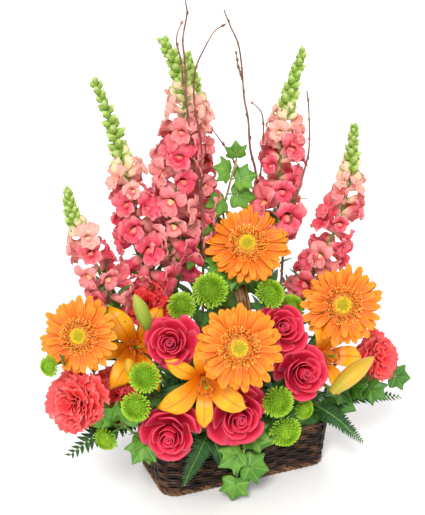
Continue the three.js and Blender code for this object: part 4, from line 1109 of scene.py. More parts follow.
def makeLily(name, bloom, seed):
    z = lilySizes
    scale = bloom["span"] / z["drawn"]
    pitch = 2 * math.pi / 3
    petals = head("lilyTepals_" + name, [
        {"Shapes": outerTepals, **ring(3), "Start": bloom["spin"] * pitch, "Jitter": 0.7, "Seed": seed,
         "Finish": "lilyTepal"},
        {"Shapes": innerTepals, **ring(3), "Start": (bloom["spin"] + 0.5) * pitch, "Jitter": 0.7,
         "Seed": seed + 9, "Finish": "lilyTepal"}])
    parts = [petals]
    for i in range(z["filaments"]):
        angle = i * 2 * math.pi / z["filaments"] + bloom["spin"] * pitch + 0.2
        out = Vector((math.cos(angle), math.sin(angle), 0))
        line = bezier(out * 2 - up * 18, out * 3 + up * 2, out * (8 + i % 2 * 2) + up * (11 + i % 3), steps=8)
        parts.append(rod("filament", line, [0.9, 0.6], "lilyFilament"))
        parts.append(anther(line[-1], out, z["anther"], 1.2))
    style = bezier(-up * 18, up * 4, Vector((2, 1, 17)), steps=8)
    parts.append(rod("style", style, [1.5, 1.0, 1.2, 1.9], "greenBud"))
    keep(seat(join("lilyTepals_" + name, parts), bloom, scale), "lily", "lily_petals_" + name)
    line = stemLine(bloom, -24 * scale)
    parts = [stalk("stem", line, 2.7, 2.4, 2.2, 2.6, 4.4)]
    for each in lilyBuds:
        if each["on"] == name:
            start, end = Vector(each["from"]), Vector(each["to"])
            root = line[12]
            way = bezier(root, root.lerp(start, 0.5) + Vector((0, 0, 4)), start.lerp(end, 0.05))
            parts.append(stalk("budStalk", way, 1.6, 1.5, 2.4))
            parts.append(makeBud(start, end, each["radius"], each["finish"]))
    parts.append(foliate(line, "lily", z["leaves"], 0.3, 0.92, seed, 0.9))
    keep(join("lilyStem_" + name, parts), "stem", "lily_stem_" + name)


for count, (name, bloom) in enumerate(lilies.items()):
    makeLily(name, bloom, 200 + count)
print("lilies open")


# roses, for a bloom 60 mm across

roses = {
    "upper_left": {"at": (-109, -82, 222), "facing": (-0.4, -0.82, 0.42), "across": 54, "foot": (-40, -12)},
    "lower_left": {"at": (-116, -95, 117), "facing": (-0.45, -0.88, 0.12), "across": 62, "foot": (-58, -29)},
    "lower_middle": {"at": (-34, -95, 122), "facing": (-0.2, -0.95, 0.2), "across": 66, "foot": (-25, -30)},
    "lower_right": {"at": (50, -88, 157), "facing": (-0.12, -0.92, 0.36), "across": 60, "foot": (28, -30)},
    "upper_right": {"at": (34, -62, 205), "facing": (-0.1, -0.84, 0.52), "across": 58, "foot": (12, -14)},
}
roseSizes = {
    "drawn": 60, "petals": 17, "heart": 4.8, "outer": 33.0, "top": 18.0, "guards": 3, "droop": -0.34,
    "sepals": 5, "leaves": 7,
}
roseCoil = {"turns": 2.1, "inner": 0.9, "outer": 4.4, "foot": 0.0, "top": 18.6, "fall": 1.0}


def rosePlace(share):
    # one petal of the spiral: upright in the heart, wide, pointed and rolled back at the outside
    r = roseSizes
    rim = r["heart"] + (r["outer"] - r["heart"]) * share ** 1.25
    top = r["top"] - 3 * share - 16 * share ** 2.2
    foot = -8 - 11 * share
    rise = top - foot
    flare = min(1.0, 2.2 * share)
    half = 0.74 + 0.9 * (1 - share) ** 2
    roll = 3.4 * share ** 2
    spine = [
        (0, (2 + share, foot)), (0.3, (rim * (0.95 - 0.42 * flare), foot + rise * (0.3 - 0.2 * share))),
        (0.6, (rim * (1.02 - 0.24 * flare), foot + rise * (0.62 - 0.1 * share))),
        (0.85, (rim * (1 - 0.07 * flare), foot + 0.9 * rise)), (0.94, (rim, top)),
        (1, (rim + 1.2 * share, top + 0.8 - 3 * share))]
    spread = [(0, 0.6 * half), (0.4, 0.95 * half), (0.75, half), (1, 0.93 * half)]

    def place(s, t):
        out, lift = smooth(spine, t * (1 - 0.14 * s * s - 0.09 * s ** 4))
        angle = s * smooth(spread, t)
        opened = max(0.0, (t - 0.35) / 0.65)
        side = max(0.0, abs(s) - 0.4) / 0.6
        far = out + (0.8 + 0.9 * share) * s + opened * (roll * side ** 2 + 1.6 * share * (1 - abs(s)) ** 3)
        lift += opened * (0.5 * share * math.sin(4.5 * s + 40 * share) - 1.1 * roll * side ** 2)
        return far * math.cos(angle), far * math.sin(angle), lift

    return place


def coilPlace(s, t):
    # the heart: one petal rolled up on itself
    c = roseCoil
    share = (s + 1) / 2
    angle = share * c["turns"] * 2 * math.pi
    wide = c["inner"] + (c["outer"] - c["inner"]) * share
    far = wide * smooth([(0, 0.5), (0.5, 0.86), (0.85, 0.94), (1, 1.06)], t)
    lift = c["foot"] + (c["top"] - c["foot"] - c["fall"] * share) * t
    return far * math.cos(angle), far * math.sin(angle), lift


roseShapes = family("rosePetals", *[
    sheet("rosePetal", rosePlace(k / (roseSizes["petals"] - 1)), 14, 13, 0.6)
    for k in range(roseSizes["petals"])])
guards = family("guards", *[sheet("guardPetal", rosePlace(0.94 + 0.06 * k), 14, 13, 0.6) for k in range(2)])
coils = family("coils", sheet("coil", coilPlace, 44, 8, 0.6))
sepals = family("sepals", sheet("sepal", blade(
    [(0, (3, -25)), (0.5, (14, -22)), (1, (24, -24))], [(0, 2.6), (0.4, 3.2), (1, 0.3)], 1.0), 4, 8, 0.7))
roseHip = [(0, (2.2, -31)), (0.3, (4.4, -29)), (0.6, (5.8, -24)), (0.85, (4.6, -19)), (1, (0, -18))]


def makeRose(name, bloom, seed):
    r = roseSizes
    scale = bloom["across"] / r["drawn"]
    facing = Vector(bloom["facing"])
    layers = [
        {"Shapes": coils, "Count": 1, "Start": 0.9 * seed, "Seed": seed, "Finish": "rosePetal"},
        {"Shapes": roseShapes, "Count": r["petals"], "Ordered": 1, "Start": 0.9 * seed + 1.2, "Jitter": 0.7,
         "Seed": seed, "Finish": "rosePetal"},
        {"Shapes": guards, **ring(r["guards"]), "Start": math.atan2(facing.y, facing.x),
         "Lean": (r["droop"], 0.6 * r["droop"]), "Size": (1.12, 1.04), "Jitter": 0.8, "Seed": seed + 10,
         "Finish": "rosePetal"}]
    keep(seat(head("rosePetals_" + name, layers), bloom, scale), "rose", "rose_petals_" + name)
    calyx = head("calyx", [
        {"Shapes": sepals, **ring(r["sepals"]), "Start": 0.3 * seed, "Jitter": 1.0, "Seed": seed,
         "Finish": "greenLeaf"}])
    line = stemLine(bloom, -22 * scale)
    parts = [
        seat(calyx, bloom, scale), seat(domed("hip", roseHip, 14, "greenStalk"), bloom, scale),
        stalk("stem", line, 2.6, 2.3, 2.2, 2.6), foliate(line, "rose", r["leaves"], 0.22, 0.9, seed)]
    keep(join("roseStem_" + name, parts), "stem", "rose_stem_" + name)


for count, (name, bloom) in enumerate(roses.items()):
    makeRose(name, bloom, 300 + count)
print("roses open")


# carnations, for a bloom 60 mm across

carnations = {
    "far_left": {"at": (-215, -60, 160), "facing": (-0.75, -0.62, 0.2), "across": 70, "foot": (-88, -8)},
    "left": {"at": (-161, -48, 150), "facing": (-0.45, -0.84, 0.3), "across": 62, "foot": (-72, -10)},
    "right": {"at": (175, -45, 133), "facing": (0.4, -0.88, 0.25), "across": 68, "foot": (84, -12)},
    "upper_left": {"at": (-113, -18, 244), "facing": (-0.35, -0.68, 0.64), "across": 56, "foot": (-48, 8)},
}
carnationSizes = {"drawn": 60, "petals": 54, "length": 30, "fan": 0.64, "ruffle": 2.6, "teeth": 0.05}


def fanPlace(seed):
    c = carnationSizes
    draw = random.Random(seed)
    shifts = [draw.uniform(0, 6.28) for k in range(3)]

    def place(s, t):
        angle = s * c["fan"] * (0.35 + 0.65 * t)
        teeth = 1 + c["teeth"] * (1 - 2 * ((s * 6.5 + 0.5) % 1)) * max(0.0, t - 0.75) * 4
        far = c["length"] * t * (1 - 0.1 * s * s) * teeth
        wave = math.sin(s * 3.6 + shifts[0]) + 0.5 * math.sin(s * 9 + shifts[1])
        lift = c["ruffle"] * wave * t * t + 2.6 * s * s * t + 1.6 * math.sin(3 * t + shifts[2])
        return far * math.cos(angle), far * math.sin(angle), lift

    return place


fans = family("fans", *[sheet("fan", fanPlace(k), 18, 7, 0.5) for k in range(6)])
cupRounds = [(0, 2.4), (0.3, 6.6), (0.8, 6.4), (1, 7.4)]


def makeCarnation(name, bloom, seed):
    c = carnationSizes
    scale = bloom["across"] / c["drawn"]
    finish = "redCarnation" if name == "upper_left" else "carnationPetal"
    petals = head("carnationPetals_" + name, [{
        "Shapes": fans, "Count": c["petals"], "Radius": (1, 3), "Height": (-6, -9), "Lean": (1.25, 0.0),
        "Size": (0.66, 0.98), "Jitter": 1.6, "Seed": seed, "Finish": finish}])
    cup = sheet("cup", lambda s, t: (*around(s, smooth(cupRounds, t)), -27 + 20 * t), 14, 8, 0, True)
    cup.data.materials.append(finishes["greenStalk"])
    stem = stalk("stem", stemLine(bloom, -24 * scale), 2.5, 2.2, 2.1, 2.4)
    parts = [seat(petals, bloom, scale), seat(cup, bloom, scale), stem]
    keep(join("carnation_" + name + "_bloom", parts), "carnation", "carnation_" + name)


for count, (name, bloom) in enumerate(carnations.items()):
    makeCarnation(name, bloom, 400 + count)
print("carnations open")


# chrysanthemum sprays, for a head 40 mm across

sprays = {
    "far_left": {"foot": (-66, 10), "fork": (-150, -26, 196), "heads": [
        {"at": (-239, -62, 209), "facing": (-0.85, -0.5, 0.1), "across": 25},
        {"at": (-204, -30, 190), "facing": (-0.5, 0.6, -0.6), "across": 24},
        {"at": (-164, -22, 241), "facing": (-0.5, -0.5, 0.7), "across": 22}]},
    "left": {"foot": (-74, -28), "fork": (-124, -58, 150), "heads": [
        {"at": (-143, -92, 191), "facing": (-0.42, -0.85, 0.3), "across": 35},
        {"at": (-155, -94, 158), "facing": (-0.55, -0.8, 0.15), "across": 34},
        {"at": (-183, -70, 111), "facing": (-0.7, -0.65, -0.2), "across": 29}]},
    "top": {"foot": (-10, -12), "fork": (-44, -22, 216), "heads": [
        {"at": (-49, -48, 261), "facing": (-0.2, -0.75, 0.6), "across": 41},
        {"at": (-85, -52, 249), "facing": (-0.4, -0.75, 0.5), "across": 33}]},
    "upper_right": {"foot": (28, -12), "fork": (38, -16, 190), "heads": [
        {"at": (26, -48, 245), "facing": (0.1, -0.75, 0.65), "across": 36},
        {"at": (60, -36, 216), "facing": (0.1, -0.8, 0.55), "across": 34}]},
    "low_right": {"foot": (12, -30), "fork": (22, -62, 100), "heads": [
        {"at": (14, -100, 132), "facing": (-0.1, -0.97, 0.2), "across": 38},
        {"at": (56, -84, 105), "facing": (0.2, -0.97, 0.0), "across": 26},
        {"at": (28, -92, 85), "facing": (-0.1, -0.98, -0.1), "across": 40}]},
}
mumSizes = {"drawn": 40, "quills": 340, "width": 1.2, "radius": 14.2, "dome": 8.4, "leaves": 5}
quillRounds = [(0, 0.5), (0.5, 0.95), (0.8, 1.0), (1, 0.45)]


def quillPlace(s, t):
    wide = mumSizes["width"] * smooth(quillRounds, t)
    out, lift = smooth([(0, (0, 0)), (0.6, (4.6, 0.6)), (1, (6.6, 2.4))], t)
    side, rise = around(s, wide, 0.6 * wide)
    return out, side, lift + rise


quills = family("quills", sheet("quill", quillPlace, 6, 4, 0, True))
mumCore = [(0, (0, -8)), (0.3, (9, -6)), (0.6, (13, -1)), (0.8, (9.5, 5)), (1, (0, 8))]


def makeSpray(name, spray, seed):
    m = mumSizes
    fork, foot = Vector(spray["fork"]), Vector((*spray["foot"], stemFoot))
    rise = foot.lerp(fork, 0.2)
    rise.z = foot.z + 0.5 * (fork.z - foot.z)
    trunk = bezier(foot, rise, fork, steps=50)
    parts = [stalk("trunk", trunk, 2.3, 2.0), foliate(trunk, "mum", m["leaves"], 0.35, 0.95, seed)]
    for i, each in enumerate(spray["heads"]):
        facing = Vector(each["facing"]).normalized()
        at = Vector(each["at"])
        branch = bezier(trunk[round(50 * (0.97 - 0.13 * i))], at - facing * 18, at - facing * 5, steps=16)
        parts.append(stalk("branch", branch, 1.6, 1.3, 1.8))
        parts.append(foliate(branch, "mum", 2, 0.35, 0.8, seed + i, 0.8))
        made = head("mumHead", [{
            "Shapes": quills, "Count": m["quills"], "Radius": (0.5, m["radius"]), "Radius Power": 0.52,
            "Height": (m["dome"], -4.0), "Height Power": 1.6, "Lean": (1.45, -0.3), "Size": (0.5, 0.95),
            "Jitter": 0.7, "Seed": seed + i, "Finish": "mumQuill"}])
        for part in (made, domed("core", mumCore, 12, "mumHeart")):
            parts.append(seat(part, each, each["across"] / m["drawn"]))
    keep(join("mumSpray_" + name, parts), "mum", "mum_spray_" + name)


for count, (name, spray) in enumerate(sprays.items()):
    makeSpray(name, spray, 500 + 5 * count)
print("chrysanthemums open")


# snapdragons

snapdragons = {
    # reach: a floret's length; zone: the share of the spike that is in flower
    "left": {"foot": (-46, 27), "reach": 31, "zone": 0.52, "line": [
        (-105, 0, 273), (-110, 6, 316), (-118, 12, 362), (-128, 20, 407), (-138, 26, 451), (-150, 30, 487)]},
    "middle_left": {"foot": (-30, 12), "reach": 31, "zone": 0.68, "line": [
        (-78, 2, 301), (-68, 8, 363), (-60, 12, 419), (-54, 16, 465), (-62, 18, 501), (-76, 20, 528)]},
    "middle_right": {"foot": (-14, 27), "reach": 30, "zone": 0.7, "line": [
        (-46, 22, 283), (-39, 28, 330), (-32, 34, 381), (-31, 38, 433), (-34, 42, 472), (-39, 44, 505)]},
    "right": {"foot": (36, 27), "reach": 32, "zone": 0.58, "line": [
        (58, 8, 305), (63, 14, 346), (67, 20, 386), (75, 26, 432), (84, 30, 465), (97, 32, 501)]},
    "far_left": {"foot": (-62, 27), "reach": 28, "zone": 0.58, "line": [
        (-155, -8, 258), (-166, -4, 290), (-178, 0, 322), (-188, 5, 350), (-192, 8, 376)]},
    "far_right": {"foot": (66, 27), "reach": 30, "zone": 0.68, "line": [
        (99, 6, 216), (112, 2, 248), (140, 10, 293), (156, 16, 334), (161, 20, 370), (165, 24, 409)]},
}
floretSizes = {"drawn": 30, "perCentimetre": 2.1, "scatter": 3.5, "pale": 6, "buds": 28, "leaves": 24}


def turned(made, matrix):
    made.data.transform(matrix)
    return made


def marked(made, low, high):
    # squeezes the share along a petal into a part of a whole floret
    marks = made.data.attributes["petal"].data
    values = np.empty(len(marks) * 3, np.float32)
    marks.foreach_get("vector", values)
    values[1::3] = low + (high - low) * values[1::3]
    marks.foreach_set("vector", values)
    return made


def makeFloret(name, opening, bend):
    # a two-lipped floret growing along +X, drawn in millimetres, as a shape 1 m long
    def tube(s, t):
        angle = s * math.pi
        rounds = [(0, (1.6, 1.6)), (0.3, (4.6, 4.4)), (0.75, (6.4, 6.2)), (1, (6.6, 6.4 * opening))]
        wide, tall = smooth(rounds, t)
        return 18 * t, wide * math.sin(angle), 2 * t + tall * math.cos(angle)

    def palate(s, t):
        wide = smooth([(0, 0.3), (0.35, 3.6), (0.7, 3.2), (1, 0.3)], t)
        side, rise = around(s, 1.7 * wide, wide)
        return 14 + 9 * t, side, 0.9 - 2.6 * t + rise

    def lobes(spine, widths, cup, rounding, ruffle, angles):
        for side, angle in angles:
            place = blade(spine, widths, cup, rounding, lambda s, t: ruffle(s, t, side))
            lobe = turned(sheet("lobe", place, 8, 7, 0.6), Matrix.Rotation(angle, 4, "X"))
            parts.append(marked(lobe, 0.55, 1.0))

    parts = [marked(sheet("tube", tube, 12, 5, 0, True), 0.0, 0.5)]
    high = [
        (0, (14, 4.6)), (0.35, (19.5, 7.6)), (0.7, (23.5, 13.0 * opening)), (1, (21.0 + bend, 21 * opening))]
    lobes(high, [(0, 4.8), (0.35, 7.8), (0.75, 9.6), (1, 5.6)], -2.4, 3.0,
          lambda s, t, side: 1.7 * math.sin(6 * s + 4 * t + side) * t * t, [(k, k * -0.54) for k in (-1, 1)])
    low = [(0, (14, -5)), (0.3, (20, -4.4)), (0.62, (25.5, -7 * opening)), (1, (25.5 - bend, -15 * opening))]
    lobes(low, [(0, 4.0), (0.35, 6.4), (0.72, 7.4), (1, 3.8)], 1.8, 2.8,
          lambda s, t, side: 1.3 * math.sin(6 * s + 5 * t + side) * t * t, [(k, k * 0.86) for k in (-1, 0, 1)])
    parts.append(marked(sheet("palate", palate, 12, 6, 0, True), 0.5, 0.56))
    return turned(join(name, parts), Matrix.Scale(1000 / floretSizes["drawn"], 4))


florets = family("florets", makeFloret("openFloret", 1.0, 0.0), makeFloret("halfFloret", 0.8, 2.4),
                 makeFloret("ruffledFloret", 1.1, -1.6))


def tipPlace(s, t):
    # a plump closed bud along +X, 1 m long
    wide = smooth([(0, 0.14), (0.25, 0.28), (0.5, 0.29), (0.8, 0.17), (1, 0.02)], t)
    lift = wide * math.cos(s * math.pi) + 0.06 * math.sin(3 * t)
    return t * 1000, wide * math.sin(s * math.pi) * 1000, lift * 1000


def palePlace(s, t):
    # a puffy floret about to open: a pouch with a cleft between its two lobes
    rounds = [(0, (0.1, 0.1)), (0.3, (0.2, 0.2)), (0.62, (0.24, 0.3)), (0.88, (0.3, 0.32)), (1, (0.04, 0.1))]
    wide, tall = smooth(rounds, t)
    cleft = 1 - 0.22 * math.exp(-9 * min(abs(s), 1 - abs(s)) ** 2 * 4) * t
    angle = s * math.pi
    return t * 1000, wide * math.sin(angle) * 1000, (tall * math.cos(angle) * cleft + 0.16 * t * t) * 1000


def sepalPlace(s, t):
    wide = 0.34 * math.sin(math.pi * min(1.0, 0.14 + 0.86 * t)) * (1 - 0.25 * t)
    return t * 720, s * wide * 720, (0.46 * math.sin(2.2 * t) - 0.5 * s * s * wide) * 720


def greenTip(name, bend):
    # a closed bud in four sepals
    parts = [sheet(name, tipPlace, 8, 6, 0, True)]
    for k in range(4):
        sepal = turned(sheet("scale", sepalPlace, 4, 4, 20), Matrix.Rotation(k * 1.57 + bend, 4, "X"))
        parts.append(marked(sepal, 0.0, 0.3))
    return join(name, parts)


tips = family("tips", greenTip("tipBud", 0.3), greenTip("leanBud", 1.2))
paleBuds = family("paleBuds", sheet("paleBud", palePlace, 12, 8, 0, True))


def shareAt(line, place):
    # how far along a line the nearest of its points to a place lies, and the line's length
    lengths = [0.0]
    for a, b in zip(line, line[1:]):
        lengths.append(lengths[-1] + (b - a).length)
    nearest = min(range(len(line)), key=lambda k: (line[k] - Vector(place)).length)
    return lengths[nearest] / lengths[-1], lengths[-1]


def makeSnapdragon(name, spike, seed):
    f = floretSizes
    line = rodLine(spike["foot"], spike["line"])
    start, length = shareAt(line, spike["line"][0])
    end = start + (1 - start) * spike["zone"]
    count = round((end - start) * length / 10 * f["perCentimetre"])
    guide = path("guide", line)
    size = spike["reach"] * mm
    shared = {"Path": guide, "Start": float(seed)}
    made = link("snapdragonFlorets_" + name, bpy.data.meshes.new("spike"))
    grow(made, "trail", {
        **shared, "Shapes": florets, "Count": count, "From": start - 0.01, "To": end, "Lean": (-0.45, 0.45),
        "Size": (size, 0.74 * size), "Size Power": 1.5, "Offset": f["scatter"], "Jitter": 1.5, "Seed": seed,
        "Finish": "snapdragonPetal"})
    grow(made, "trail", {
        **shared, "Shapes": paleBuds, "Count": f["pale"], "From": end, "To": end + 0.09 * (1 - start),
        "Lean": (0.5, 0.7), "Size": (0.66 * size, 0.5 * size), "Jitter": 1.2, "Seed": seed + 2,
        "Finish": "paleFloret"})
    keep(settle(made), "snapdragon", "snapdragon_florets_" + name)
    made = link("tipBuds", bpy.data.meshes.new("tipBuds"))
    grow(made, "trail", {
        **shared, "Shapes": tips, "Count": f["buds"], "From": end + 0.05 * (1 - start), "To": 0.995,
        "Lean": (0.55, 1.0), "Size": (0.56 * size, 0.34 * size), "Jitter": 0.8, "Seed": seed + 3,
        "Finish": "snapdragonBud"})
    parts = [
        settle(made), foliate(line, "lance", f["leaves"], start * 0.12, start * 1.04, seed, 1.15, 0.75),
        stalk("stem", line, 2.5, 2.3, 2.1, 1.9, 1.6, 1.0)]
    bpy.data.objects.remove(guide)
    keep(join("snapdragonStem_" + name, parts), "stem", "snapdragon_stem_" + name)


for count, (name, spike) in enumerate(snapdragons.items()):
    makeSnapdragon(name, spike, 600 + 10 * count)
print("snapdragons grown")


# willow

willows = {
    "left": {"foot": (-30, 29), "line": [
        (-39, 0, 240), (-40, -3, 297), (-43, -5, 352), (-54, -6, 412), (-59, -6, 460), (-61, -6, 509),
        (-63, -6, 533), (-58, -6, 561), (-60, -6, 573)],
        "twigs": [
            [(-59, -6, 460), (-63, -6, 485), (-65, -6, 509), (-70, -6, 535), (-64, -6, 551)],
            [(-43, -5, 352), (-43, -6, 422), (-49, -6, 450), (-51, -6, 477), (-48, -6, 503), (-38, -5, 522),
             (-26, -4, 539), (-13, -4, 546)]]},
    "middle": {"foot": (12, 28), "line": [
        (33, 28, 287), (40, 28, 330), (37, 24, 368), (28, 20, 397), (23, 16, 434), (17, 14, 459), (13, 13, 496),
        (8, 12, 521), (-2, 12, 542), (-9, 12, 558)],
        "twigs": [
            [(15, 14, 478), (9, 13, 496), (6, 12, 510)],
            [(40, 28, 330), (44, 25, 368), (45, 22, 408), (43, 20, 433), (39, 18, 442), (26, 16, 454)],
            [(38, 26, 342), (20, 23, 368), (5, 21, 390), (-8, 20, 410), (-22, 20, 429)]]},
    "right": {"foot": (46, 8), "line": [
        (53, -18, 239), (55, -18, 280), (62, -16, 311), (71, -14, 340), (82, -12, 375), (88, -10, 398),
        (87, -8, 446), (84, -8, 466)],
        "twigs": []},
}
willowSizes = {"rod": [1.9, 1.6, 1.3, 1.0, 0.7], "twig": [1.1, 0.9, 0.6], "rodBuds": 11, "twigBuds": 4}
barkBuds = family("barkBuds", sheet("barkBud", tipPlace, 6, 5, 0, True))


def makeWillow(name, rods, seed):
    w = willowSizes
    lines = [(rodLine(rods["foot"], rods["line"]), w["rod"], w["rodBuds"], 0.42)]
    for twig in rods["twigs"]:
        lines.append((through([Vector(each) for each in twig]), w["twig"], w["twigBuds"], 0.2))
    parts, guides = [], []
    made = link("barkBuds", bpy.data.meshes.new("barkBuds"))
    for k, (line, radii, count, first) in enumerate(lines):
        parts.append(rod("willowRod", line, radii, "willowBark", 2))
        guides.append(path("guide", line))
        grow(made, "trail", {
            "Path": guides[-1], "Shapes": barkBuds, "Count": count, "From": first, "To": 0.97,
            "Turn": math.pi + 0.5, "Lean": (1.2, 1.25), "Size": (6.5 * mm, 5 * mm), "Jitter": 0.5,
            "Seed": seed + k, "Finish": "willowBark"})
    parts.append(settle(made))
    for guide in guides:
        bpy.data.objects.remove(guide)
    keep(join("willowRods_" + name, parts), "bark", "willow_" + name)


for count, (name, rods) in enumerate(willows.items()):
    makeWillow(name, rods, 700 + 5 * count)
print("willow grown")


# ivy

ivies = {
    "back": {"foot": (2, 10), "finish": "youngIvy", "line": [
        (15, 16, 210), (14, 20, 256), (6, 26, 290), (-2, 28, 320), (2, 20, 356), (8, 14, 388)],
        "leaves": [
            ((14, 14, 225), (-14, -2, 222), 34), ((14, 16, 240), (42, 2, 236), 32),
            ((13, 18, 262), (-16, 4, 264), 32), ((8, 24, 285), (-22, 10, 292), 32),
            ((12, 20, 252), (46, 8, 266), 34), ((0, 27, 304), (-34, 4, 300), 34),
            ((5, 17, 372), (-18, 8, 384), 26), ((4, 18, 364), (28, 8, 370), 26),
            ((8, 14, 388), (4, 6, 410), 22), ((1, 21, 346), (30, 10, 342), 28),
            ((1, 22, 340), (-28, 10, 340), 28), ((-2, 28, 320), (-36, 18, 310), 28),
            ((2, 27, 306), (-16, 58, 312), 34), ((10, 22, 270), (36, 52, 268), 36),
            ((-30, 8, 292), (-76, 0, 308), 38), ((-34, 6, 292), (-80, -6, 288), 34),
            ((-26, 10, 291), (-52, 0, 320), 32), ((-20, 12, 290), (-40, -8, 274), 30),
            ((-13, -8, 274), (12, -28, 252), 34), ((-13, -8, 274), (-37, -24, 272), 30),
            ((-8, -6, 272), (-16, -30, 254), 30)],
        "twigs": [[(4, 27, 284), (-16, 16, 290), (-34, 6, 292)], [(13, 18, 262), (0, 4, 270), (-13, -8, 274)]]},
    "front": {"foot": (-12, -31), "finish": "youngIvy", "line": [
        (-15, -62, 86), (-19, -80, 74), (-24, -84, 54), (-30, -84, 36)],
        "leaves": [
            ((-16, -70, 83), (2, -98, 84), 30), ((-20, -82, 68), (-48, -90, 60), 32),
            ((-26, -84, 50), (4, -92, 40), 32), ((-30, -84, 36), (-36, -86, 8), 30),
            ((-16, -66, 84), (24, -80, 62), 36)]},
    "left": {"foot": (-90, -26), "finish": "youngIvy", "line": [
        (-118, -50, 92), (-140, -64, 102), (-158, -66, 120), (-168, -62, 136)],
        "leaves": [
            ((-128, -56, 94), (-150, -70, 76), 30), ((-140, -64, 102), (-134, -92, 86), 28),
            ((-168, -62, 136), (-186, -76, 146), 26), ((-118, -50, 92), (-128, -22, 84), 32),
            ((-160, -66, 124), (-182, -50, 116), 28), ((-168, -64, 122), (-190, -82, 156), 36),
            ((-162, -66, 122), (-158, -88, 154), 32)]},
    "right": {"foot": (90, -22), "finish": "ivyLeaf", "line": [
        (118, -50, 101), (142, -60, 107), (170, -56, 110), (188, -50, 108)],
        "leaves": [
            ((118, -50, 101), (104, -80, 106), 30), ((150, -60, 108), (160, -84, 102), 28),
            ((188, -50, 108), (214, -56, 102), 28), ((142, -60, 107), (150, -34, 116), 30),
            ((128, -55, 104), (134, -78, 116), 28), ((100, -48, 99), (130, -68, 82), 38)]},
}
ivyHalf = [
    # half the edge of a leaf 1 long, from its tip round to its stalk
    (0, (1, 0)), (0.03, (0.94, 0.05)), (0.14, (0.78, 0.17)), (0.22, (0.68, 0.25)), (0.26, (0.63, 0.32)),
    (0.31, (0.64, 0.43)), (0.36, (0.66, 0.56)), (0.38, (0.63, 0.58)), (0.48, (0.46, 0.53)), (0.56, (0.3, 0.46)),
    (0.6, (0.25, 0.47)), (0.66, (0.12, 0.53)), (0.7, (0.02, 0.54)), (0.74, (-0.03, 0.5)), (0.86, (-0.13, 0.24)),
    (0.94, (-0.08, 0.07)), (1, (0, 0))]


def ivyPlace(s, t):
    # a leaf of five pointed lobes on +X of length 1 from its stalk, dished between its veins
    edgeX, edgeY = smooth(ivyHalf, abs(s))
    x, y = 0.16 + (edgeX - 0.16) * (0.04 + 0.96 * t), math.copysign(edgeY, s) * (0.04 + 0.96 * t)
    valley = 0.035 * math.cos(2 * math.pi * abs(s) / 0.37) * t * (1 - 0.4 * t)
    return x * 1000, y * 1000, (-0.3 * ((x - 0.3) ** 2 + y * y) + 0.05 * abs(y) - valley) * 1000


ivyLeaf = sheet("ivyTemplate", ivyPlace, 64, 5, 16)


def leafAt(source, start, end, length, upper, finish, tone):
    # one leaf of a template, grown from start towards end
    made = link("leaf", source.data.copy())
    along = (end - start).normalized()
    side = upper.cross(along).normalized()
    place = Matrix((along, side, along.cross(side))).transposed().to_4x4() * (length * mm)
    place[3][3] = 1
    made.data.transform(Matrix.Translation(start * mm) @ place)
    made.data.materials.clear()
    made.data.materials.append(finishes[finish])
    tones = made.data.attributes.new("tone", "FLOAT", "POINT").data
    tones.foreach_set("value", [tone] * len(made.data.vertices))
    return made


def makeIvy(name, trail, seed):
    draw = random.Random(seed)
    vine = "tanVine" if name == "back" else "greenStalk"
    parts = [rod("vine", rodLine(trail["foot"], trail["line"]), [1.8, 1.5, 1.2], vine, 2)]
    for twig in trail.get("twigs", ()):
        parts.append(stalk("twig", through([Vector(each) for each in twig]), 1.1, 0.9))
    for at, to, length in trail["leaves"]:
        start, end = Vector(at), Vector(to)
        upper = Vector((0, 0.8, 0.6)) if end.y > start.y + 10 else Vector((-0.3, -0.85, 0.45))
        joint = start.lerp(end, 0.2)
        way = bezier(start, start.lerp(joint, 0.5) + Vector((0, 0, 1.5)), joint, steps=6)
        parts.append(rod("leafStalk", way, [0.9, 0.8], "greenStalk"))
        parts.append(leafAt(ivyLeaf, joint, end, length, upper, trail["finish"], draw.random()))
    keep(join("ivyTrail_" + name, parts), "ivy", "ivy_" + name)


for count, (name, trail) in enumerate(ivies.items()):
    makeIvy(name, trail, 800 + count)
bpy.data.objects.remove(ivyLeaf)
print("ivy grown")


# ferns

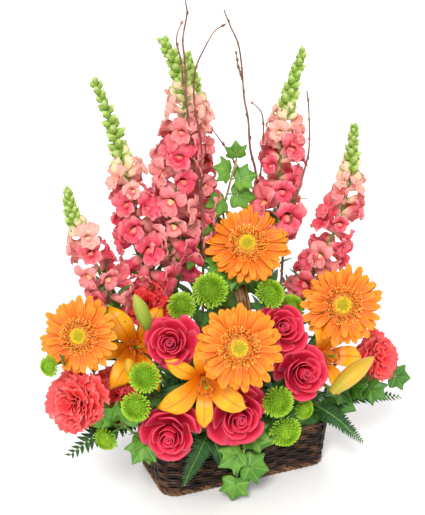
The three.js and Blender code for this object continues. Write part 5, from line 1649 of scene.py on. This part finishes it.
ferns = {
    "left": {"foot": (-88, 10), "fork": (-106, -4, 98), "fronds": [
        ([(-126, -20, 108), (-158, -42, 116), (-193, -60, 112), (-226, -76, 104)], 25, (0, -0.5, 0.87))]},
    "right": {"foot": (72, -30), "fork": (86, -48, 88), "fronds": [
        ([(110, -50, 92), (136, -51, 93), (166, -54, 87), (204, -58, 78)], 18, (0, -0.5, 0.87)),
        ([(94, -66, 86), (106, -78, 77), (120, -83, 62), (138, -84, 42)], 14, (0.2, -0.9, 0.4))]},
    "front": {"foot": (-49, -31), "fork": (-56, -58, 86), "fronds": [
        ([(-66, -72, 84), (-78, -79, 70), (-86, -79, 54), (-94, -78, 34)], 15, (-0.1, -0.95, 0.3)),
        ([(-54, -72, 80), (-50, -78, 68), (-48, -78, 58), (-45, -76, 46)], 12, (0, -0.95, 0.3))]},
    "back": {"foot": (22, 33), "fork": (22, 58, 92), "fronds": [
        ([(-4, 66, 112), (-34, 74, 140), (-62, 80, 174), (-86, 84, 212)], 32, (0.1, 0.95, 0.3)),
        ([(22, 66, 122), (18, 74, 152), (12, 80, 192), (6, 84, 234)], 32, (0, 0.95, 0.3)),
        ([(42, 62, 108), (64, 70, 132), (88, 77, 166), (110, 80, 202)], 32, (-0.1, 0.95, 0.3)),
        ([(-8, 62, 98), (-38, 68, 100), (-70, 72, 92), (-98, 72, 76)], 22, (0, 0.8, 0.6)),
        ([(52, 62, 96), (78, 68, 98), (102, 71, 88), (122, 70, 70)], 22, (0, 0.8, 0.6)),
        ([(8, 66, 92), (-8, 72, 80), (-20, 74, 60), (-28, 72, 40)], 16, (0, 1, 0.2)),
        ([(38, 66, 90), (50, 72, 78), (60, 74, 60), (66, 72, 42)], 16, (0, 1, 0.2))]},
}
fernSizes = {"pinnae": 36, "longest": 1.08, "shortest": 0.26}  # shares of a frond's reach


def pinnaPlace(s, t):
    # a toothed pinna along +X, its width along Z so that it lies in the frond
    lobe = 0.6 + 0.4 * abs(math.cos(6.5 * math.pi * t))
    wide = smooth([(0, 0.12), (0.2, 0.24), (0.6, 0.16), (1, 0.02)], t) * lobe
    return (t + 0.07 * abs(s) * (1 - t)) * 1000, (0.05 * s * s - 0.1 * t * t) * 1000, s * wide * 1000


pinnae = family("pinnae", sheet("pinna", pinnaPlace, 4, 30, 26))


def makeFern(name, fern, seed):
    f = fernSizes
    fork, foot = Vector(fern["fork"]), Vector((*fern["foot"], stemFoot))
    rise = foot.lerp(fork, 0.3)
    rise.z = fork.z
    parts, guides = [stalk("frondStalk", bezier(foot, rise, fork), 2.2, 1.9)], []
    made = link("pinnae", bpy.data.meshes.new("pinnae"))
    for k, (line, reach, upper) in enumerate(fern["fronds"]):
        points = [Vector(each) for each in line]
        run = through([fork, *points])
        parts.append(stalk("rib", run, 1.3, 0.9, 0.4))
        guides.append(path("guide", run))
        side = Vector(upper).cross(points[-1] - points[0]).normalized()
        grow(made, "trail", {
            "Path": guides[-1], "Shapes": pinnae, "Count": f["pinnae"], "From": 0.14, "To": 0.985,
            "Side": tuple(side), "Turn": math.pi, "Lean": (0.42, 0.75), "Roll": 0.12,
            "Size": (f["longest"] * reach * mm, f["shortest"] * reach * mm), "Size Power": 1.7,
            "Jitter": 0.35, "Seed": seed + k, "Finish": "fernPinna"})
    parts.append(settle(made))
    for guide in guides:
        bpy.data.objects.remove(guide)
    keep(join("fern_" + name + "_fronds", parts), "fern", "fern_" + name)


for count, (name, fern) in enumerate(ferns.items()):
    makeFern(name, fern, 900 + 5 * count)
print("ferns grown")


# floor, light, camera

stageSizes = {
    "floor": 12.0, "world": 0.84,  # the floor's half width in metres, the strength of the white sky
    "place": (-0.45398, -1.05690, 0.728), "tilt": 68.5, "swing": -22.0, "lens": 74.1,
}
lights = {
    # where it shines from, the angle of its disc, its power and its tint
    "keyLight": ((-0.75, -1.1, 1.25), 18, 2.05, (1.0, 0.985, 0.96)),
    "fillLight": ((1.3, -1.0, 0.7), 40, 0.4, (0.96, 0.98, 1.0)),
    "backLight": ((0.3, 1.3, 1.2), 30, 0.5, (1.0, 1.0, 1.0)),
}


def makeFloor():
    made = link("floor", bpy.data.meshes.new("floor"))
    s = stageSizes["floor"]
    made.data.from_pydata([(-s, -s, 0), (s, -s, 0), (s, s, 0), (-s, s, 0)], [], [(0, 1, 2, 3)])

    def paint(tree):
        cloud = noise(tree, 3)
        shade = blend(tree, cloud, colour("#f6f6f6"), colour("#ffffff"))
        return {"Base Color": shade, "Roughness": cloud * 0.1 + 0.8}

    made.data.materials.append(material("paleFloor", paint, {"Specular IOR Level": 0.2}))


def makeLight(name, place, softness, power, tint):
    # an even light from far off towards the arrangement
    data = bpy.data.lights.new(name, "SUN")
    data.angle = math.radians(softness)
    data.energy = power
    data.color = tint
    made = link(name, data)
    made.rotation_euler = (-Vector(place)).to_track_quat("-Z", "Y").to_euler()


def makeWorld():
    made = bpy.data.worlds.new("studio")
    made.use_nodes = True
    background = made.node_tree.nodes["Background"].inputs
    background["Color"].default_value = (1, 1, 1, 1)
    background["Strength"].default_value = stageSizes["world"]
    scene.world = made


def makeCamera():
    z = stageSizes
    made = link("camera", bpy.data.cameras.new("camera"))
    made.location = z["place"]
    made.rotation_euler = (math.radians(z["tilt"]), 0, math.radians(z["swing"]))
    made.data.sensor_width = 36
    made.data.lens = z["lens"]
    scene.camera = made


makeFloor()
for name, values in lights.items():
    makeLight(name, *values)
makeWorld()
makeCamera()
scene.view_settings.view_transform = "Standard"
print("stage set")
